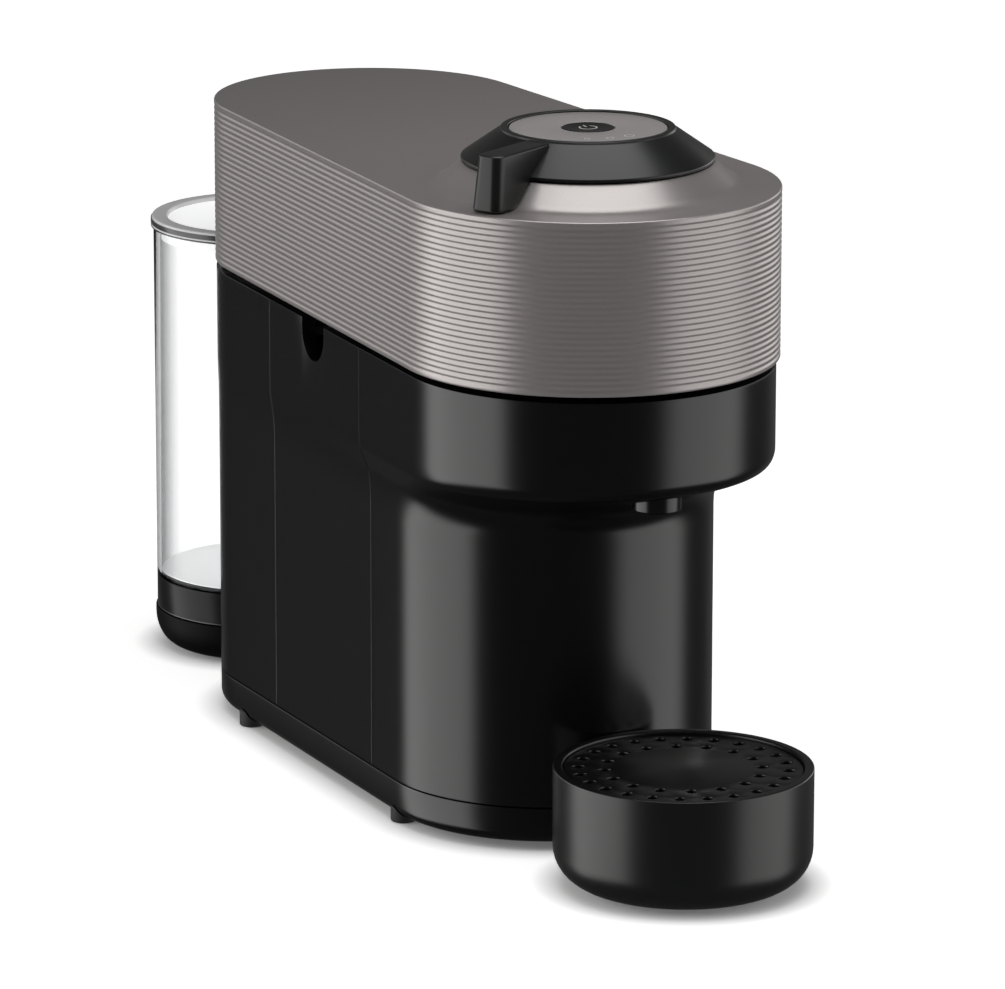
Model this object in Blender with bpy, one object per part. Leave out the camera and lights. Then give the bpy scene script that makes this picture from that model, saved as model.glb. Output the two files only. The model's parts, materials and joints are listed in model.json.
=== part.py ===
"""Pod coffee machine: an assembly of separate sub-parts, in metres, +Z up.

The front of the machine faces -Y. The origin is on the table, under the middle of the machine's
bounding box. Every vertical shell follows one plan: two circles, a larger one round the brew axis
at the front and a smaller one at the rear, joined by their common tangents.
"""

import math

import bmesh
import bpy
from mathutils import Matrix, Vector

# ---------------------------------------------------------------- driving dimensions
BREW_Y = -0.0988  # the brew axis: centre of the front circle
REAR_Y = BREW_Y + 0.1757  # centre of the hood's rear circle
BODY_REAR_Y = REAR_Y  # centre of the body's rear circle
COLUMN_Y = BREW_Y + 0.0306  # centre of the column's front circle

# A plan is ((front radius, front y), (rear radius, rear y)).
HOOD_PLAN = ((0.0670, BREW_Y), (0.0568, REAR_Y))
BAND_PLAN = ((0.0655, BREW_Y), (0.0564, BODY_REAR_Y))
COLUMN_PLAN = ((0.0588, COLUMN_Y), (0.0560, BODY_REAR_Y))

ARC_STEPS = 16  # straight pieces in each end of a plan
GAP = 0.0004  # between pieces that touch on the real machine
WALL = 0.0024

HOOD_BOTTOM, HOOD_TOP = 0.1708, 0.2310
HOOD_WALL, HOOD_ROOF, HOOD_EDGE = 0.0026, 0.0030, 0.0016
# The cone on the hood's top, under the lever's ring: its curved foot is (radius, height) points.
PLINTH_TOP, PLINTH_TOP_R = 0.2392, 0.0430
PLINTH_FOOT = ((0.0556, -0.0002), (0.0532, 0.0005), (0.0518, 0.0012), (0.0505, 0.0020))
HEAD_PLATE = (0.1720, 0.1750)

BODY_TOP = 0.1684
PAN_TOP, PAN_BOTTOM, PAN_EDGE = 0.0156, 0.0026, 0.0045
BODY_BOTTOM = PAN_TOP + 0.0005
FRONT_SEAM_Y = BREW_Y + 0.0515
REAR_SEAM_Y = BREW_Y + 0.1360
SEAM = 0.0004

# The band turns in under its lower edge, slopes to the column and turns down again.
SLOPE_TOP = 0.1388
SLOPE_DEPTH = (BAND_PLAN[0][0] - COLUMN_PLAN[0][0]) + (COLUMN_Y - BREW_Y)
SLOPE_ANGLE = math.radians(18)
CONVEX_R, CONCAVE_R = 0.0065, 0.014
CURVE_STEPS = 4

NOTCH_Y, NOTCH_Z, NOTCH_R = BREW_Y + 0.0950, 0.1646, 0.0102

HINGE_Y, HINGE_Z = BREW_Y + 0.2220, 0.1725
HINGE_PIN_R, HINGE_BORE_R, KNUCKLE_R = 0.0016, 0.0020, 0.0035
LUG_X, BRACKET_X = (0.0050, 0.0110), (0.0114, 0.0180)

KNOB_TOP, KNOB_BOTTOM = 0.2510, PLINTH_TOP + GAP
KNOB_RIM_R, KNOB_BASE_R = 0.0300, 0.0438
DISC_R, SHAFT_R, SHAFT_BORE_R = 0.0273, 0.0195, 0.0150
LEVER_ANGLE = math.radians(61.5)  # from straight ahead towards -X
LEVER_TIP_R, LEVER_DRAFT = 0.0630, 0.0024
LEVER_TIP_WIDTH, LEVER_ROOT_WIDTH = 0.0088, 0.0130
BUTTON_R, BUTTON_TOP = 0.0091, KNOB_TOP - 0.0002
SPRING_LOW, SPRING_HIGH = 0.2380, 0.2434

DECK_BOTTOM, DECK_TOP = 0.1605, 0.1635
HOLDER_RIM_Z = 0.1610
OUTLET_Y, OUTLET_R, OUTLET_BOTTOM = BREW_Y - 0.0525, 0.0084, 0.1270

MOTOR_Y = BREW_Y + 0.0500
PULLEY_LOW, PULLEY_HIGH = 0.1030, 0.1110
HOLDER_PULLEY_R, MOTOR_PULLEY_R = 0.0170, 0.0085
PLATE_LOW, PLATE_HIGH = 0.0920, 0.0945

BIN_X, BIN_Y, BIN_LOW = 0.0430, (BREW_Y + 0.0730, BREW_Y + 0.1340), 0.0620
FRAME_X, FRAME_Y = (0.0462, 0.0484), (BREW_Y + 0.0100, BREW_Y + 0.1860)
PUMP_X, PUMP_Z, PUMP_Y = -0.0200, 0.0440, (BREW_Y + 0.1480, BREW_Y + 0.2030)
HEATER_LOW, HEATER_HIGH = (-0.0040, BREW_Y + 0.1500, 0.0800), (0.0400, BREW_Y + 0.1960, 0.1260)

STAND_R, STAND_Y = 0.0447, BREW_Y - 0.0733
STAND_BOTTOM, STAND_TOP, STAND_EDGE = 0.0008, 0.0418, 0.0130
GRID_R, GRID_LOW, GRID_HIGH = 0.0410, 0.0386, 0.0406
SLOT_RINGS = ((0.0360, 24), (0.0270, 16))  # (radius, count)
SLOT_LENGTH, SLOT_WIDTH = 0.0044, 0.0036
TONGUE_X, TONGUE_END, TONGUE_TOP = 0.0120, BREW_Y + 0.0060, 0.0046

TANK_Y = BREW_Y + 0.2744
LID_R, LID_LOW, LID_HIGH = 0.0412, 0.1646, 0.1686
TANK_R, TANK_WALL = 0.0402, 0.0020
TANK_BOTTOM, TANK_FLOOR = 0.0156, 0.0280
DOCK_R, DOCK_BOTTOM, DOCK_SHELF, DOCK_TOP = 0.0408, 0.0008, 0.0152, 0.0274
DOCK_EDGE_IN, DOCK_EDGE_UP = 0.0080, 0.0120
DOCK_FOOT_R, DOCK_FOOT_TOP = 0.0060, 0.0030

FOOT_R, FOOT_TOP = 0.0047, 0.0062
FEET = {"front": (0.0545, BREW_Y + 0.0340), "rear": (0.0525, BREW_Y + 0.1678)}  # (x, y)
SCREW_R, SCREW_LOW = 0.0024, PAN_BOTTOM + GAP
SCREWS = {"front": (0.0260, BREW_Y + 0.0330), "rear": (0.0380, BREW_Y + 0.1440)}  # (x, y)
NECK_X, NECK_LOW, NECK_HIGH = 0.0090, 0.0060, 0.0128
GLAND_X, GLAND_Z = 0.0300, 0.0320


# ---------------------------------------------------------------- tools
def clear_scene():
    for obj in list(bpy.data.objects):
        bpy.data.objects.remove(obj, do_unlink=True)


def make_material(name, colour, roughness, metallic=0.0, alpha=1.0):
    made = bpy.data.materials.new(name)
    made.use_nodes = True
    shader = made.node_tree.nodes["Principled BSDF"]
    shader.inputs["Base Color"].default_value = (*colour, 1.0)
    shader.inputs["Roughness"].default_value = roughness
    shader.inputs["Metallic"].default_value = metallic
    shader.inputs["Alpha"].default_value = alpha
    made.diffuse_color = (*colour, alpha)
    return made


def add_object(name, bm, material, origin=(0.0, 0.0, 0.0)):
    """The bmesh, given in world coordinates, as an object whose origin is at origin."""
    bmesh.ops.recalc_face_normals(bm, faces=bm.faces)
    bmesh.ops.translate(bm, verts=bm.verts, vec=-Vector(origin))
    mesh = bpy.data.meshes.new(name)
    bm.to_mesh(mesh)
    bm.free()
    if material is not None:
        mesh.materials.append(material)
    mesh.shade_smooth()
    mesh.set_sharp_from_angle(angle=math.radians(30))
    obj = bpy.data.objects.new(name, mesh)
    obj.location = origin
    bpy.context.scene.collection.objects.link(obj)
    return obj


def add_cutter(name, bm):
    cutter = add_object(name, bm, None)
    cutter.hide_render = True
    cutter.display_type = "WIRE"
    return cutter


def combine(target, cutter, operation="DIFFERENCE"):
    modifier = target.modifiers.new(cutter.name, "BOOLEAN")
    modifier.object = cutter
    modifier.operation = operation
    modifier.solver = "EXACT"


def carve(target, bm):
    """Cuts the bmesh's shape out of the target."""
    count = len(target.modifiers) + 1
    combine(target, add_cutter(f"{target.name}_cut_{count}", bm))


def join(target, bm):
    """Joins the bmesh's shape to the target."""
    count = len(target.modifiers) + 1
    combine(target, add_cutter(f"{target.name}_add_{count}", bm), "UNION")


def keep_inside(target, bm):
    """Keeps only what lies inside the bmesh's shape."""
    count = len(target.modifiers) + 1
    combine(target, add_cutter(f"{target.name}_keep_{count}", bm), "INTERSECT")


def box(low, high):
    """A box between two corners."""
    bm = bmesh.new()
    low, high = Vector(low), Vector(high)
    place = Matrix.Translation((low + high) / 2) @ Matrix.Diagonal((*(high - low), 1.0))
    bmesh.ops.create_cube(bm, size=1.0, matrix=place)
    return bm


def soft_box(low, high, radius, segments=2):
    """A box with all its edges rounded."""
    bm = box(low, high)
    bmesh.ops.bevel(
        bm, geom=bm.edges[:], offset=radius, segments=segments, profile=0.5, affect="EDGES"
    )
    return bm


def rod(start, end, radius, sides=16):
    """A cylinder between two points."""
    bm = bmesh.new()
    start, end = Vector(start), Vector(end)
    turn = (end - start).to_track_quat("Z", "Y").to_matrix().to_4x4()
    place = Matrix.Translation((start + end) / 2) @ turn
    bmesh.ops.create_cone(
        bm,
        cap_ends=True,
        segments=sides,
        radius1=radius,
        radius2=radius,
        depth=(end - start).length,
        matrix=place,
    )
    return bm


def turned(profile, y, x=0.0, steps=24):
    """The (radius, z) profile turned about the vertical through (x, y).

    A profile that starts and ends at radius 0 stays open there, and any other is closed.
    """
    bm = bmesh.new()
    verts = [bm.verts.new((x + r, y, z)) for r, z in profile]
    edges = [bm.edges.new(pair) for pair in zip(verts, verts[1:])]
    if profile[0][0] > 0:
        edges.append(bm.edges.new((verts[-1], verts[0])))
    bmesh.ops.spin(
        bm,
        geom=verts + edges,
        cent=(x, y, 0.0),
        axis=(0.0, 0.0, 1.0),
        angle=math.tau,
        steps=steps,
        use_merge=True,
    )
    bmesh.ops.remove_doubles(bm, verts=bm.verts, dist=1e-6)
    return bm


def arc(centre, radius, start_deg, end_deg, steps):
    """Points of an arc in an (inset, z) or (radius, z) plane."""
    points = []
    for step in range(steps + 1):
        angle = math.radians(start_deg + (end_deg - start_deg) * step / steps)
        points.append((centre[0] + radius * math.cos(angle), centre[1] + radius * math.sin(angle)))
    return points


def blend_plan(first, second, share):
    return tuple(
        tuple(a + (b - a) * share for a, b in zip(one, other)) for one, other in zip(first, second)
    )


def plan_ring(plan, inset, z):
    """The plan's outline, moved in by inset, at height z."""
    (front_r, front_y), (rear_r, rear_y) = plan
    lean = math.asin((front_r - rear_r) / (rear_y - front_y))
    points = []
    for radius, y, start, end in (
        (front_r, front_y, math.pi - lean, math.tau + lean),
        (rear_r, rear_y, lean, math.pi - lean),
    ):
        for step in range(ARC_STEPS + 1):
            angle = start + (end - start) * step / ARC_STEPS
            points.append(
                ((radius - inset) * math.cos(angle), y + (radius - inset) * math.sin(angle), z)
            )
    return points


def loft(rings, closed=False):
    """A solid through rings of points: capped at both ends, or closed into a hoop."""
    bm = bmesh.new()
    rows = [[bm.verts.new(point) for point in ring] for ring in rings]
    pairs = list(zip(rows, rows[1:]))
    if closed:
        pairs.append((rows[-1], rows[0]))
    else:
        bm.faces.new(rows[0])
        bm.faces.new(rows[-1])
    for lower, upper in pairs:
        for i, first in enumerate(lower):
            j = (i + 1) % len(lower)
            bm.faces.new((first, lower[j], upper[j], upper[i]))
    return bm


def slab(plan, inset, low, high):
    """A flat plate with the plan's outline."""
    return loft([plan_ring(plan, inset, low), plan_ring(plan, inset, high)])


def prism(outline, depth):
    """The (u, v) outline in the XZ plane, depth thick along Y about that plane."""
    bm = bmesh.new()
    near = [bm.verts.new((u, -depth / 2, v)) for u, v in outline]
    far = [bm.verts.new((u, depth / 2, v)) for u, v in outline]
    bm.faces.new(near)
    bm.faces.new(far)
    for i, first in enumerate(near):
        j = (i + 1) % len(near)
        bm.faces.new((first, near[j], far[j], far[i]))
    return bm


def tube(name, points, radius, material, sides_step=1):
    """A wire or hose along the points, with its ends closed."""
    curve = bpy.data.curves.new(name, "CURVE")
    curve.dimensions = "3D"
    curve.bevel_depth = radius
    curve.bevel_resolution = sides_step
    curve.use_fill_caps = True
    spline = curve.splines.new("POLY")
    spline.points.add(len(points) - 1)
    for place, point in zip(spline.points, points):
        place.co = (*point, 1.0)
    curve.materials.append(material)
    obj = bpy.data.objects.new(name, curve)
    bpy.context.scene.collection.objects.link(obj)
    return obj


def smooth_route(stops, steps):
    """Points on a Catmull-Rom curve through the stops."""
    ends = [Vector(stops[0]) * 2 - Vector(stops[1]), Vector(stops[-1]) * 2 - Vector(stops[-2])]
    guide = [ends[0], *map(Vector, stops), ends[1]]
    points = []
    for a, b, c, d in zip(guide, guide[1:], guide[2:], guide[3:]):
        for step in range(steps):
            t = step / steps
            points.append(
                0.5
                * (
                    2 * b
                    + (c - a) * t
                    + (2 * a - 5 * b + 4 * c - d) * t**2
                    + (3 * b - a - 3 * c + d) * t**3
                )
            )
    points.append(guide[-2])
    return points


# ---------------------------------------------------------------- materials
def make_materials():
    return {
        "taupe": make_material("hood_taupe", (0.235, 0.212, 0.200), 0.38, 0.45),
        "taupe_disc": make_material("disc_taupe", (0.255, 0.235, 0.225), 0.35, 0.40),
        "black": make_material("body_black", (0.012, 0.012, 0.013), 0.36),
        "knob": make_material("knob_black", (0.020, 0.020, 0.021), 0.42),
        "gloss": make_material("gloss_black", (0.005, 0.005, 0.006), 0.08),
        "charcoal": make_material("stand_charcoal", (0.022, 0.023, 0.024), 0.45),
        "clear": make_material("tank_clear", (0.90, 0.92, 0.93), 0.05, 0.0, 0.25),
        "dark": make_material("inner_dark", (0.050, 0.050, 0.055), 0.55),
        "rubber": make_material("rubber_black", (0.015, 0.015, 0.015), 0.75),
        "steel": make_material("steel", (0.62, 0.62, 0.63), 0.28, 1.0),
        "copper": make_material("motor_copper", (0.55, 0.30, 0.16), 0.35, 1.0),
        "board": make_material("board_green", (0.02, 0.13, 0.05), 0.45),
        "hose": make_material("hose_white", (0.72, 0.72, 0.70), 0.40),
        "alloy": make_material("heater_alloy", (0.50, 0.50, 0.51), 0.45, 1.0),
    }


# ---------------------------------------------------------------- body shells
def slope_profile(offset):
    """(share, inset, z) of the wall from its top to its bottom, moved in by offset.

    share runs from the band's plan, 0, to the column's, 1.
    """
    angle = math.degrees(SLOPE_ANGLE)
    turn_end = 90 - angle
    centre = (CONVEX_R, SLOPE_TOP)
    convex = arc(centre, CONVEX_R, 180, 180 + turn_end, CURVE_STEPS)
    drop = (SLOPE_DEPTH - CONCAVE_R * (1 - math.cos(math.radians(turn_end)))) - convex[-1][0]
    foot_z = convex[-1][1] - drop * math.tan(SLOPE_ANGLE)
    foot_z -= CONCAVE_R * math.sin(math.radians(turn_end))
    concave = arc((SLOPE_DEPTH - CONCAVE_R, foot_z), CONCAVE_R, turn_end, 0, CURVE_STEPS)
    points = [(0.0, BODY_TOP)] + convex + concave + [(SLOPE_DEPTH, BODY_BOTTOM)]
    normals = [(1.0, 0.0)]
    for step in range(CURVE_STEPS + 1):
        lean = math.radians(turn_end * step / CURVE_STEPS)
        normals.append((math.cos(lean), math.sin(lean)))
    normals += normals[:0:-1] + [(1.0, 0.0)]
    return [
        (depth / SLOPE_DEPTH, offset * across, z + offset * up)
        for (depth, z), (across, up) in zip(points, normals)
    ]


def wall_rings(offset):
    return [
        plan_ring(blend_plan(BAND_PLAN, COLUMN_PLAN, share), inset, z)
        for share, inset, z in slope_profile(offset)
    ]


def make_front_shell(materials):
    """Band and column in front of the side seams."""
    rings = wall_rings(0.0) + wall_rings(WALL)[::-1]
    shell = add_object("front_shell", loft(rings, closed=True), materials["black"])
    keep_inside(shell, box((-0.1, BREW_Y - 0.1, 0.0), (0.1, FRONT_SEAM_Y, 0.3)))
    carve(
        shell,
        rod((0, OUTLET_Y, 0.120), (0, OUTLET_Y, 0.145), OUTLET_R + 0.0006, 24),
    )


def plain_wall():
    """The same outside, with a straight inside: the walls behind the front seams."""
    rings = wall_rings(0.0)
    rings += [plan_ring(COLUMN_PLAN, WALL, z) for z in (BODY_BOTTOM, BODY_TOP)]
    return loft(rings, closed=True)


def make_side_panels(materials):
    """The walls between the side seams, each with a half-round finger notch under the hood."""
    for side, sign in (("left", -1), ("right", 1)):
        panel = add_object(f"side_panel_{side}", plain_wall(), materials["black"])
        near, far = sorted((0.02 * sign, 0.1 * sign))
        keep_inside(
            panel, box((near, FRONT_SEAM_Y + SEAM, 0.0), (far, REAR_SEAM_Y, 0.3))
        )
        carve(panel, rod((near, NOTCH_Y, NOTCH_Z), (far, NOTCH_Y, NOTCH_Z), NOTCH_R, 24))
        carve(
            panel,
            box((near, NOTCH_Y - NOTCH_R, NOTCH_Z), (far, NOTCH_Y + NOTCH_R, 0.18)),
        )


def make_rear_shell(materials):
    """The wall behind the rear seams, cut down at the back where the open hood dips."""
    shell = add_object("rear_shell", plain_wall(), materials["black"])
    keep_inside(shell, box((-0.1, REAR_SEAM_Y + SEAM, 0.0), (0.1, 0.3, 0.3)))
    carve(shell, box((-0.030, BODY_REAR_Y + 0.030, 0.1639), (0.030, 0.3, 0.2)))
    carve(shell, rod((GLAND_X, 0.08, GLAND_Z), (GLAND_X, 0.16, GLAND_Z), 0.0064, 20))


def make_base_pan(materials):
    """The dish under the body, with a round lower edge and a slot for the cup stand's tongue."""
    edge_z = PAN_BOTTOM + PAN_EDGE
    outside = [(0.0, PAN_TOP)] + arc((PAN_EDGE, edge_z), PAN_EDGE, 180, 270, 4)
    inside = [(WALL, PAN_TOP)] + arc((PAN_EDGE, edge_z), PAN_EDGE - WALL, 180, 270, 4)
    rings = [plan_ring(COLUMN_PLAN, inset, z) for inset, z in outside[::-1] + inside]
    pan = add_object("base_pan", loft(rings), materials["black"])
    carve(pan, box((-NECK_X - GAP, 0.10, NECK_LOW - GAP), (NECK_X + GAP, 0.15, NECK_HIGH + GAP)))
    slot_x, slot_end = TONGUE_X + GAP, TONGUE_END + GAP
    carve(pan, box((-slot_x, -0.2, 0.0), (slot_x, slot_end, PAN_BOTTOM + WALL + 0.0010)))
    for x, y in SCREWS.values():
        for side_x in (-x, x):
            carve(pan, rod((side_x, y, 0.0), (side_x, y, 0.02), SCREW_R + GAP, 12))


def make_feet(materials):
    for end, (x, y) in FEET.items():
        for side, sign in (("left", -1), ("right", 1)):
            foot = turned(
                [(0, FOOT_TOP), (FOOT_R, FOOT_TOP), (FOOT_R, 0.0008), (FOOT_R - 0.0008, 0), (0, 0)],
                y,
                sign * x,
                16,
            )
            made = add_object(f"foot_{end}_{side}", foot, materials["rubber"])
            carve(made, base_underside())


def base_underside():
    """The pan's outer skin, grown by the gap, for cutting what stands under it."""
    edge_z = PAN_BOTTOM + PAN_EDGE
    outside = [(-GAP, PAN_TOP)] + arc((PAN_EDGE, edge_z), PAN_EDGE + GAP, 180, 270, 4)
    return loft([plan_ring(COLUMN_PLAN, inset, z) for inset, z in outside])


def make_base_screws(materials):
    """Screws with sunk heads that hold the pan to the frame."""
    for end, (x, y) in SCREWS.items():
        for side, sign in (("left", -1), ("right", 1)):
            bm = turned(
                [
                    (0, SCREW_LOW),
                    (SCREW_R, SCREW_LOW),
                    (SCREW_R, SCREW_LOW + 0.0025),
                    (0.0015, SCREW_LOW + 0.0025),
                    (0.0015, SCREW_LOW + 0.0120),
                    (0, SCREW_LOW + 0.0130),
                ],
                y,
                sign * x,
                12,
            )
            add_object(f"base_screw_{end}_{side}", bm, materials["steel"])


# ---------------------------------------------------------------- hood
def make_head_cover(materials):
    """The hood's shell, open underneath, with the lever's cone and shaft hole on top."""
    edge = arc((HOOD_EDGE, HOOD_TOP - HOOD_EDGE), HOOD_EDGE, 180, 90, 3)
    outside = [(0.0, HOOD_BOTTOM)] + edge
    inside = [(HOOD_WALL, HOOD_TOP - HOOD_ROOF), (HOOD_WALL, HOOD_BOTTOM)]
    rings = [plan_ring(HOOD_PLAN, inset, z) for inset, z in inside + outside]
    cover = add_object("head_cover", loft(rings), materials["taupe"], (0, HINGE_Y, HINGE_Z))
    foot = HOOD_TOP - 0.0016
    cone = [(0, foot), (PLINTH_FOOT[0][0], foot)]
    cone += [(radius, HOOD_TOP + height) for radius, height in PLINTH_FOOT]
    cone += [(PLINTH_TOP_R + 0.0006, PLINTH_TOP - 0.0005), (PLINTH_TOP_R, PLINTH_TOP), (0, PLINTH_TOP)]
    join(cover, turned(cone, BREW_Y, steps=32))
    low, high = HOOD_TOP - HOOD_ROOF - 0.0010, PLINTH_TOP - HOOD_ROOF
    hollow = [(0, low), (0.0500, low), (0.0500, HOOD_TOP - HOOD_ROOF + 0.0004), (0.0410, high), (0, high)]
    carve(cover, turned(hollow, BREW_Y, steps=32))
    carve(cover, rod((0, BREW_Y, 0.22), (0, BREW_Y, 0.25), SHAFT_R + 0.0006, 32))


def make_head_plate(materials):
    """The plate that closes the hood underneath and carries its hinge lugs."""
    low, high = HEAD_PLATE
    bm = slab(HOOD_PLAN, HOOD_WALL + GAP, low, high)
    plate = add_object("head_plate", bm, materials["dark"], (0, HINGE_Y, HINGE_Z))
    carve(plate, rod((0, BREW_Y, 0.16), (0, BREW_Y, 0.18), 0.0380, 32))
    rear = HINGE_Y - 0.0120
    carve(plate, box((-0.0205, rear, 0.16), (0.0205, HINGE_Y + 0.03, 0.19)))
    for sign in (-1, 1):
        near, far = sorted(sign * x for x in LUG_X)
        join(plate, box((near, rear - 0.004, low), (far, HINGE_Y, high + 0.0007)))
        axis = ((near, HINGE_Y, HINGE_Z), (far, HINGE_Y, HINGE_Z))
        join(plate, rod(*axis, KNUCKLE_R, 20))
    carve(plate, rod((-0.02, HINGE_Y, HINGE_Z), (0.02, HINGE_Y, HINGE_Z), HINGE_BORE_R, 12))


def make_hinge(materials):
    """The bracket on the deck and the pin through it and the hood's lugs."""
    reach, low = BRACKET_X[1], DECK_TOP + GAP
    base = box((-reach, HINGE_Y - 0.016, low), (reach, HINGE_Y - 0.004, 0.1660))
    bracket = add_object("hinge_bracket", base, materials["dark"])
    for sign in (-1, 1):
        near, far = sorted(sign * x for x in BRACKET_X)
        join(bracket, box((near, HINGE_Y - 0.010, 0.1650), (far, HINGE_Y - 0.0005, HINGE_Z)))
        axis = ((near, HINGE_Y, HINGE_Z), (far, HINGE_Y, HINGE_Z))
        join(bracket, rod(*axis, KNUCKLE_R, 20))
    carve(bracket, rod((-0.03, HINGE_Y, HINGE_Z), (0.03, HINGE_Y, HINGE_Z), HINGE_BORE_R, 12))
    pin = rod((-0.0176, HINGE_Y, HINGE_Z), (0.0176, HINGE_Y, HINGE_Z), HINGE_PIN_R, 12)
    add_object("hinge_pin", pin, materials["steel"])


def make_brew_head(materials):
    """Bell, seal and needle that close on the capsule from above."""
    roof, flange = 0.1700, 0.1784
    bell = turned(
        [
            (0.0050, flange),
            (0.0050, roof),
            (0.0325, roof),
            (0.0330, 0.1640),
            (0.0360, 0.1640),
            (0.0360, HEAD_PLATE[1] + GAP),
            (0.0440, HEAD_PLATE[1] + GAP),
            (0.0440, flange),
        ],
        BREW_Y,
    )
    add_object("brew_bell", bell, materials["dark"])
    seal = turned(
        [(0.0330, 0.1616), (0.0345, 0.1612), (0.0358, 0.1616), (0.0358, 0.1636), (0.0330, 0.1636)],
        BREW_Y,
    )
    add_object("seal_ring", seal, materials["rubber"])
    needle = turned(
        [
            (0, 0.1750),
            (0.0044, 0.1750),
            (0.0044, roof - GAP),
            (0.0100, roof - GAP),
            (0.0100, 0.1676),
            (0.0022, 0.1670),
            (0.0018, 0.1600),
            (0, 0.1550),
        ],
        BREW_Y,
        steps=16,
    )
    add_object("piercing_needle", needle, materials["steel"])


def make_control_board(materials):
    """The small board under the hood's roof, behind the knob."""
    y = BREW_Y + 0.080
    board = add_object(
        "control_board", box((-0.024, y, 0.2000), (0.024, y + 0.036, 0.2016)), materials["board"]
    )
    join(board, box((-0.010, y + 0.008, 0.2010), (0.006, y + 0.024, 0.2050)))
    join(board, box((0.012, y + 0.006, 0.2010), (0.020, y + 0.030, 0.2070)))


def make_lever(materials):
    """The ring round the disc with its cone, shaft and lever, in one piece."""
    recess = KNOB_TOP - 0.0042
    profile = [
        (DISC_R + GAP, KNOB_TOP - 0.0006),
        (DISC_R + 0.0009, KNOB_TOP),
        (KNOB_RIM_R - 0.0006, KNOB_TOP),
        (KNOB_RIM_R + 0.0004, KNOB_TOP - 0.0008),
        (KNOB_BASE_R, KNOB_BOTTOM + 0.0008),
        (KNOB_BASE_R - 0.0006, KNOB_BOTTOM),
        (SHAFT_R, KNOB_BOTTOM),
        (SHAFT_R, 0.1840),
        (SHAFT_BORE_R, 0.1840),
        (SHAFT_BORE_R, recess),
        (DISC_R + GAP, recess),
    ]
    origin = (0.0, BREW_Y, KNOB_TOP)
    lever = add_object("lock_lever", turned(profile, BREW_Y, steps=32), materials["knob"], origin)
    join(lever, lever_blade())


def lever_blade():
    """The lever outside the ring: it widens towards the ring and follows the hood's cone below."""
    root, tip, floor = KNOB_RIM_R - 0.0014, LEVER_TIP_R, HOOD_TOP + GAP
    tip_top = tip - LEVER_DRAFT
    outline = [(root, KNOB_TOP), (tip_top - 0.0012, KNOB_TOP), (tip_top, KNOB_TOP - 0.0012)]
    outline += [(tip, floor + 0.0008), (tip - 0.0008, floor), (0.0550, floor)]
    outline += [(radius + 0.0003, floor + height) for radius, height in PLINTH_FOOT[1:]]
    outline += [(PLINTH_TOP_R - 0.0006, KNOB_BOTTOM + 0.0006), (root, KNOB_BOTTOM + 0.0006)]
    bm = prism(outline, LEVER_TIP_WIDTH)
    sides = [edge for edge in bm.edges if edge.verts[0].co.y * edge.verts[1].co.y > 0]
    for vert in bm.verts:
        share = (tip - vert.co.x) / (tip - root)
        vert.co.y *= 1 + (LEVER_ROOT_WIDTH / LEVER_TIP_WIDTH - 1) * share**2
    outer = [edge for edge in sides if max(vert.co.x for vert in edge.verts) > tip_top - 0.0030]
    outer = [edge for edge in outer if min(vert.co.z for vert in edge.verts) > floor]
    bmesh.ops.bevel(bm, geom=outer, offset=0.0010, segments=1, affect="EDGES")
    turn = Matrix.Rotation(-math.pi / 2 - LEVER_ANGLE, 4, "Z")
    bmesh.ops.transform(bm, matrix=Matrix.Translation((0, BREW_Y, 0)) @ turn, verts=bm.verts)
    return bm


def make_lock_ring(materials):
    """The ring on the lever's shaft whose tabs catch the body."""
    low, high = 0.1802, 0.1836
    ring = turned([(0.0152, low), (0.0480, low), (0.0480, high), (0.0152, high)], BREW_Y)
    made = add_object("lock_ring", ring, materials["steel"], (0, BREW_Y, low))
    for index in range(3):
        turn = Matrix.Rotation(math.radians(30 + 120 * index), 4, "Z")
        tab = box((0.0455, -0.006, 0.1756), (0.0500, 0.006, high - 0.0004))
        bmesh.ops.transform(tab, matrix=Matrix.Translation((0, BREW_Y, 0)) @ turn, verts=tab.verts)
        join(made, tab)


def make_display(materials):
    """The fixed disc in the ring's middle, on a hollow stem, with the button in its bore."""
    low = KNOB_TOP - 0.0038
    profile = [
        (0, SPRING_LOW - 0.0003),
        (BUTTON_R + GAP, SPRING_LOW - 0.0003),
        (BUTTON_R + GAP, KNOB_TOP - 0.0008),
        (DISC_R, KNOB_TOP - 0.0008),
        (DISC_R, low),
        (0.0120, low),
        (0.0120, 0.1788),
        (0, 0.1788),
    ]
    add_object("display_disc", turned(profile, BREW_Y), materials["taupe_disc"])
    button = turned(
        [
            (0, BUTTON_TOP - 0.0004),
            (BUTTON_R - 0.0012, BUTTON_TOP),
            (BUTTON_R, BUTTON_TOP - 0.0008),
            (BUTTON_R, BUTTON_TOP - 0.0040),
            (0.0030, BUTTON_TOP - 0.0040),
            (0.0030, SPRING_HIGH + 0.0004),
            (0, SPRING_HIGH + 0.0004),
        ],
        BREW_Y,
    )
    add_object("start_button", button, materials["gloss"], (0, BREW_Y, BUTTON_TOP))
    turns, per_turn, radius = 3, 10, 0.0046
    points = []
    for step in range(turns * per_turn + 1):
        share = step / (turns * per_turn)
        angle = math.tau * turns * share
        z = SPRING_LOW + 0.0006 + (SPRING_HIGH - SPRING_LOW - 0.0012) * share
        points.append((radius * math.cos(angle), BREW_Y + radius * math.sin(angle), z))
    tube("button_spring", points, 0.00035, materials["steel"])


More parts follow.
